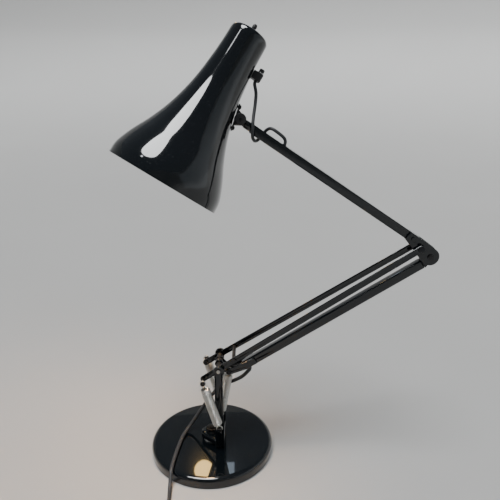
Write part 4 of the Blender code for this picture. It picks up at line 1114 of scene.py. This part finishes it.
FLOOR_DROP = 0.2 * MM
FLOOR_RINGS = (
    (2.6, 0), (3.0, 0.04), (3.4, 0.17), (3.75, 0.42), (4.0, 0.8), (4.1, 1.3), (4.12, 2.9)
)
floor_rings = [(wide, high - FLOOR_DROP) for wide, high in FLOOR_RINGS]
floor = raise_rings("floor", floor_rings, around=96, foot=True)
take(floor)
bpy.ops.object.mode_set(mode="EDIT")
bpy.ops.mesh.select_all(action="SELECT")
bpy.ops.mesh.flip_normals()
bpy.ops.object.mode_set(mode="OBJECT")
smooth(floor, 60)
floor.data.materials.append(mix_floor())
print("floor", floor_rings[-1][0], "m in radius")

# %% [markdown]
# ## The lights
# Black gloss shows what it reflects, so the lights are chosen for their reflections. One big light
# would show the shape but leave the enamel dull. A wide soft one overhead draws the long streak
# down the shade, a narrow one carries it up the neck, a large dim one gives the right flank its
# sheen, and two small ones behind the lamp show in the base.


# %% Lights
def aim_light(name, kind, place, target, power, colour):
    """A light that shines from its place towards the target."""
    made = add_object(name, bpy.data.lights.new(name, kind))
    made.data.energy = power
    made.data.color = colour
    made.location = place
    towards = Vector(target) - Vector(place)
    made.rotation_euler = towards.to_track_quat("-Z", "Y").to_euler()
    return made


def far_light(name, source, spread, power, colour):
    """A far round light, as wide as spread in degrees. Only its direction counts."""
    made = aim_light(name, "SUN", source, (0, 0, 0), power, colour)
    made.data.angle = math.radians(spread)


def soft_light(name, place, target, size, power, colour, shape="RECTANGLE"):
    made = aim_light(name, "AREA", place, target, power, colour)
    made.data.shape = shape
    made.data.size, made.data.size_y = size


BASE_TOP = 16 * MM
far_light("ceiling", (-0.17, -0.21, 0.96), spread=30, power=5.0, colour=(0.97, 0.99, 1.0))
far_light("window", (-0.45, -0.37, 0.81), spread=5, power=0.10, colour=(0.95, 0.98, 1.0))
soft_light(
    "side", (2.3, -0.75, 0.95), (0.0, -0.05, 0.35),
    size=(2.6, 1.5), power=3.4, colour=(0.72, 0.87, 1.0),
)
soft_light(
    "lamp", (-0.125, 1.08, 1.01), (-0.02, -0.075, BASE_TOP),
    size=(0.075, 0.075), power=0.30, colour=(1.0, 0.66, 0.24), shape="DISK",
)
soft_light(
    "pane", (-0.04, 1.09, 1.03), (0.0, -0.07, BASE_TOP),
    size=(0.07, 0.075), power=0.055, colour=(0.70, 0.84, 1.0),
)
print("lights", [light.name for light in bpy.data.lights])

# %% [markdown]
# The room's own light fills the shadows. A picture of a room could give it, but it would put that
# room in every reflection, and a plain bluish world doesn't. The bulb's glass glows, and a small
# point light near it carries the warm light out of the shade with less noise. It rides on the
# shade, so it turns with it.

# %% World and bulb light
GLOW_HEIGHT = 60 * MM
world = bpy.data.worlds.new("studio")
bpy.context.scene.world = world
world.use_nodes = True
backdrop = world.node_tree.nodes["Background"].inputs
backdrop["Color"].default_value = (0.74, 0.80, 0.88, 1)
backdrop["Strength"].default_value = 0.22
glow = bpy.data.lights.new("bulb_light", "POINT")
glow.energy = 4.0
glow.color = (1.0, 0.60, 0.30)
glow.shadow_soft_size = 30 * MM
glow_object = add_object("bulb_light", glow)
glow_object.location = shade_axis @ Vector((0, 0, GLOW_HEIGHT))
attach(glow_object, "shade")
print("bulb light at", [round(x, 4) for x in glow_object.location])
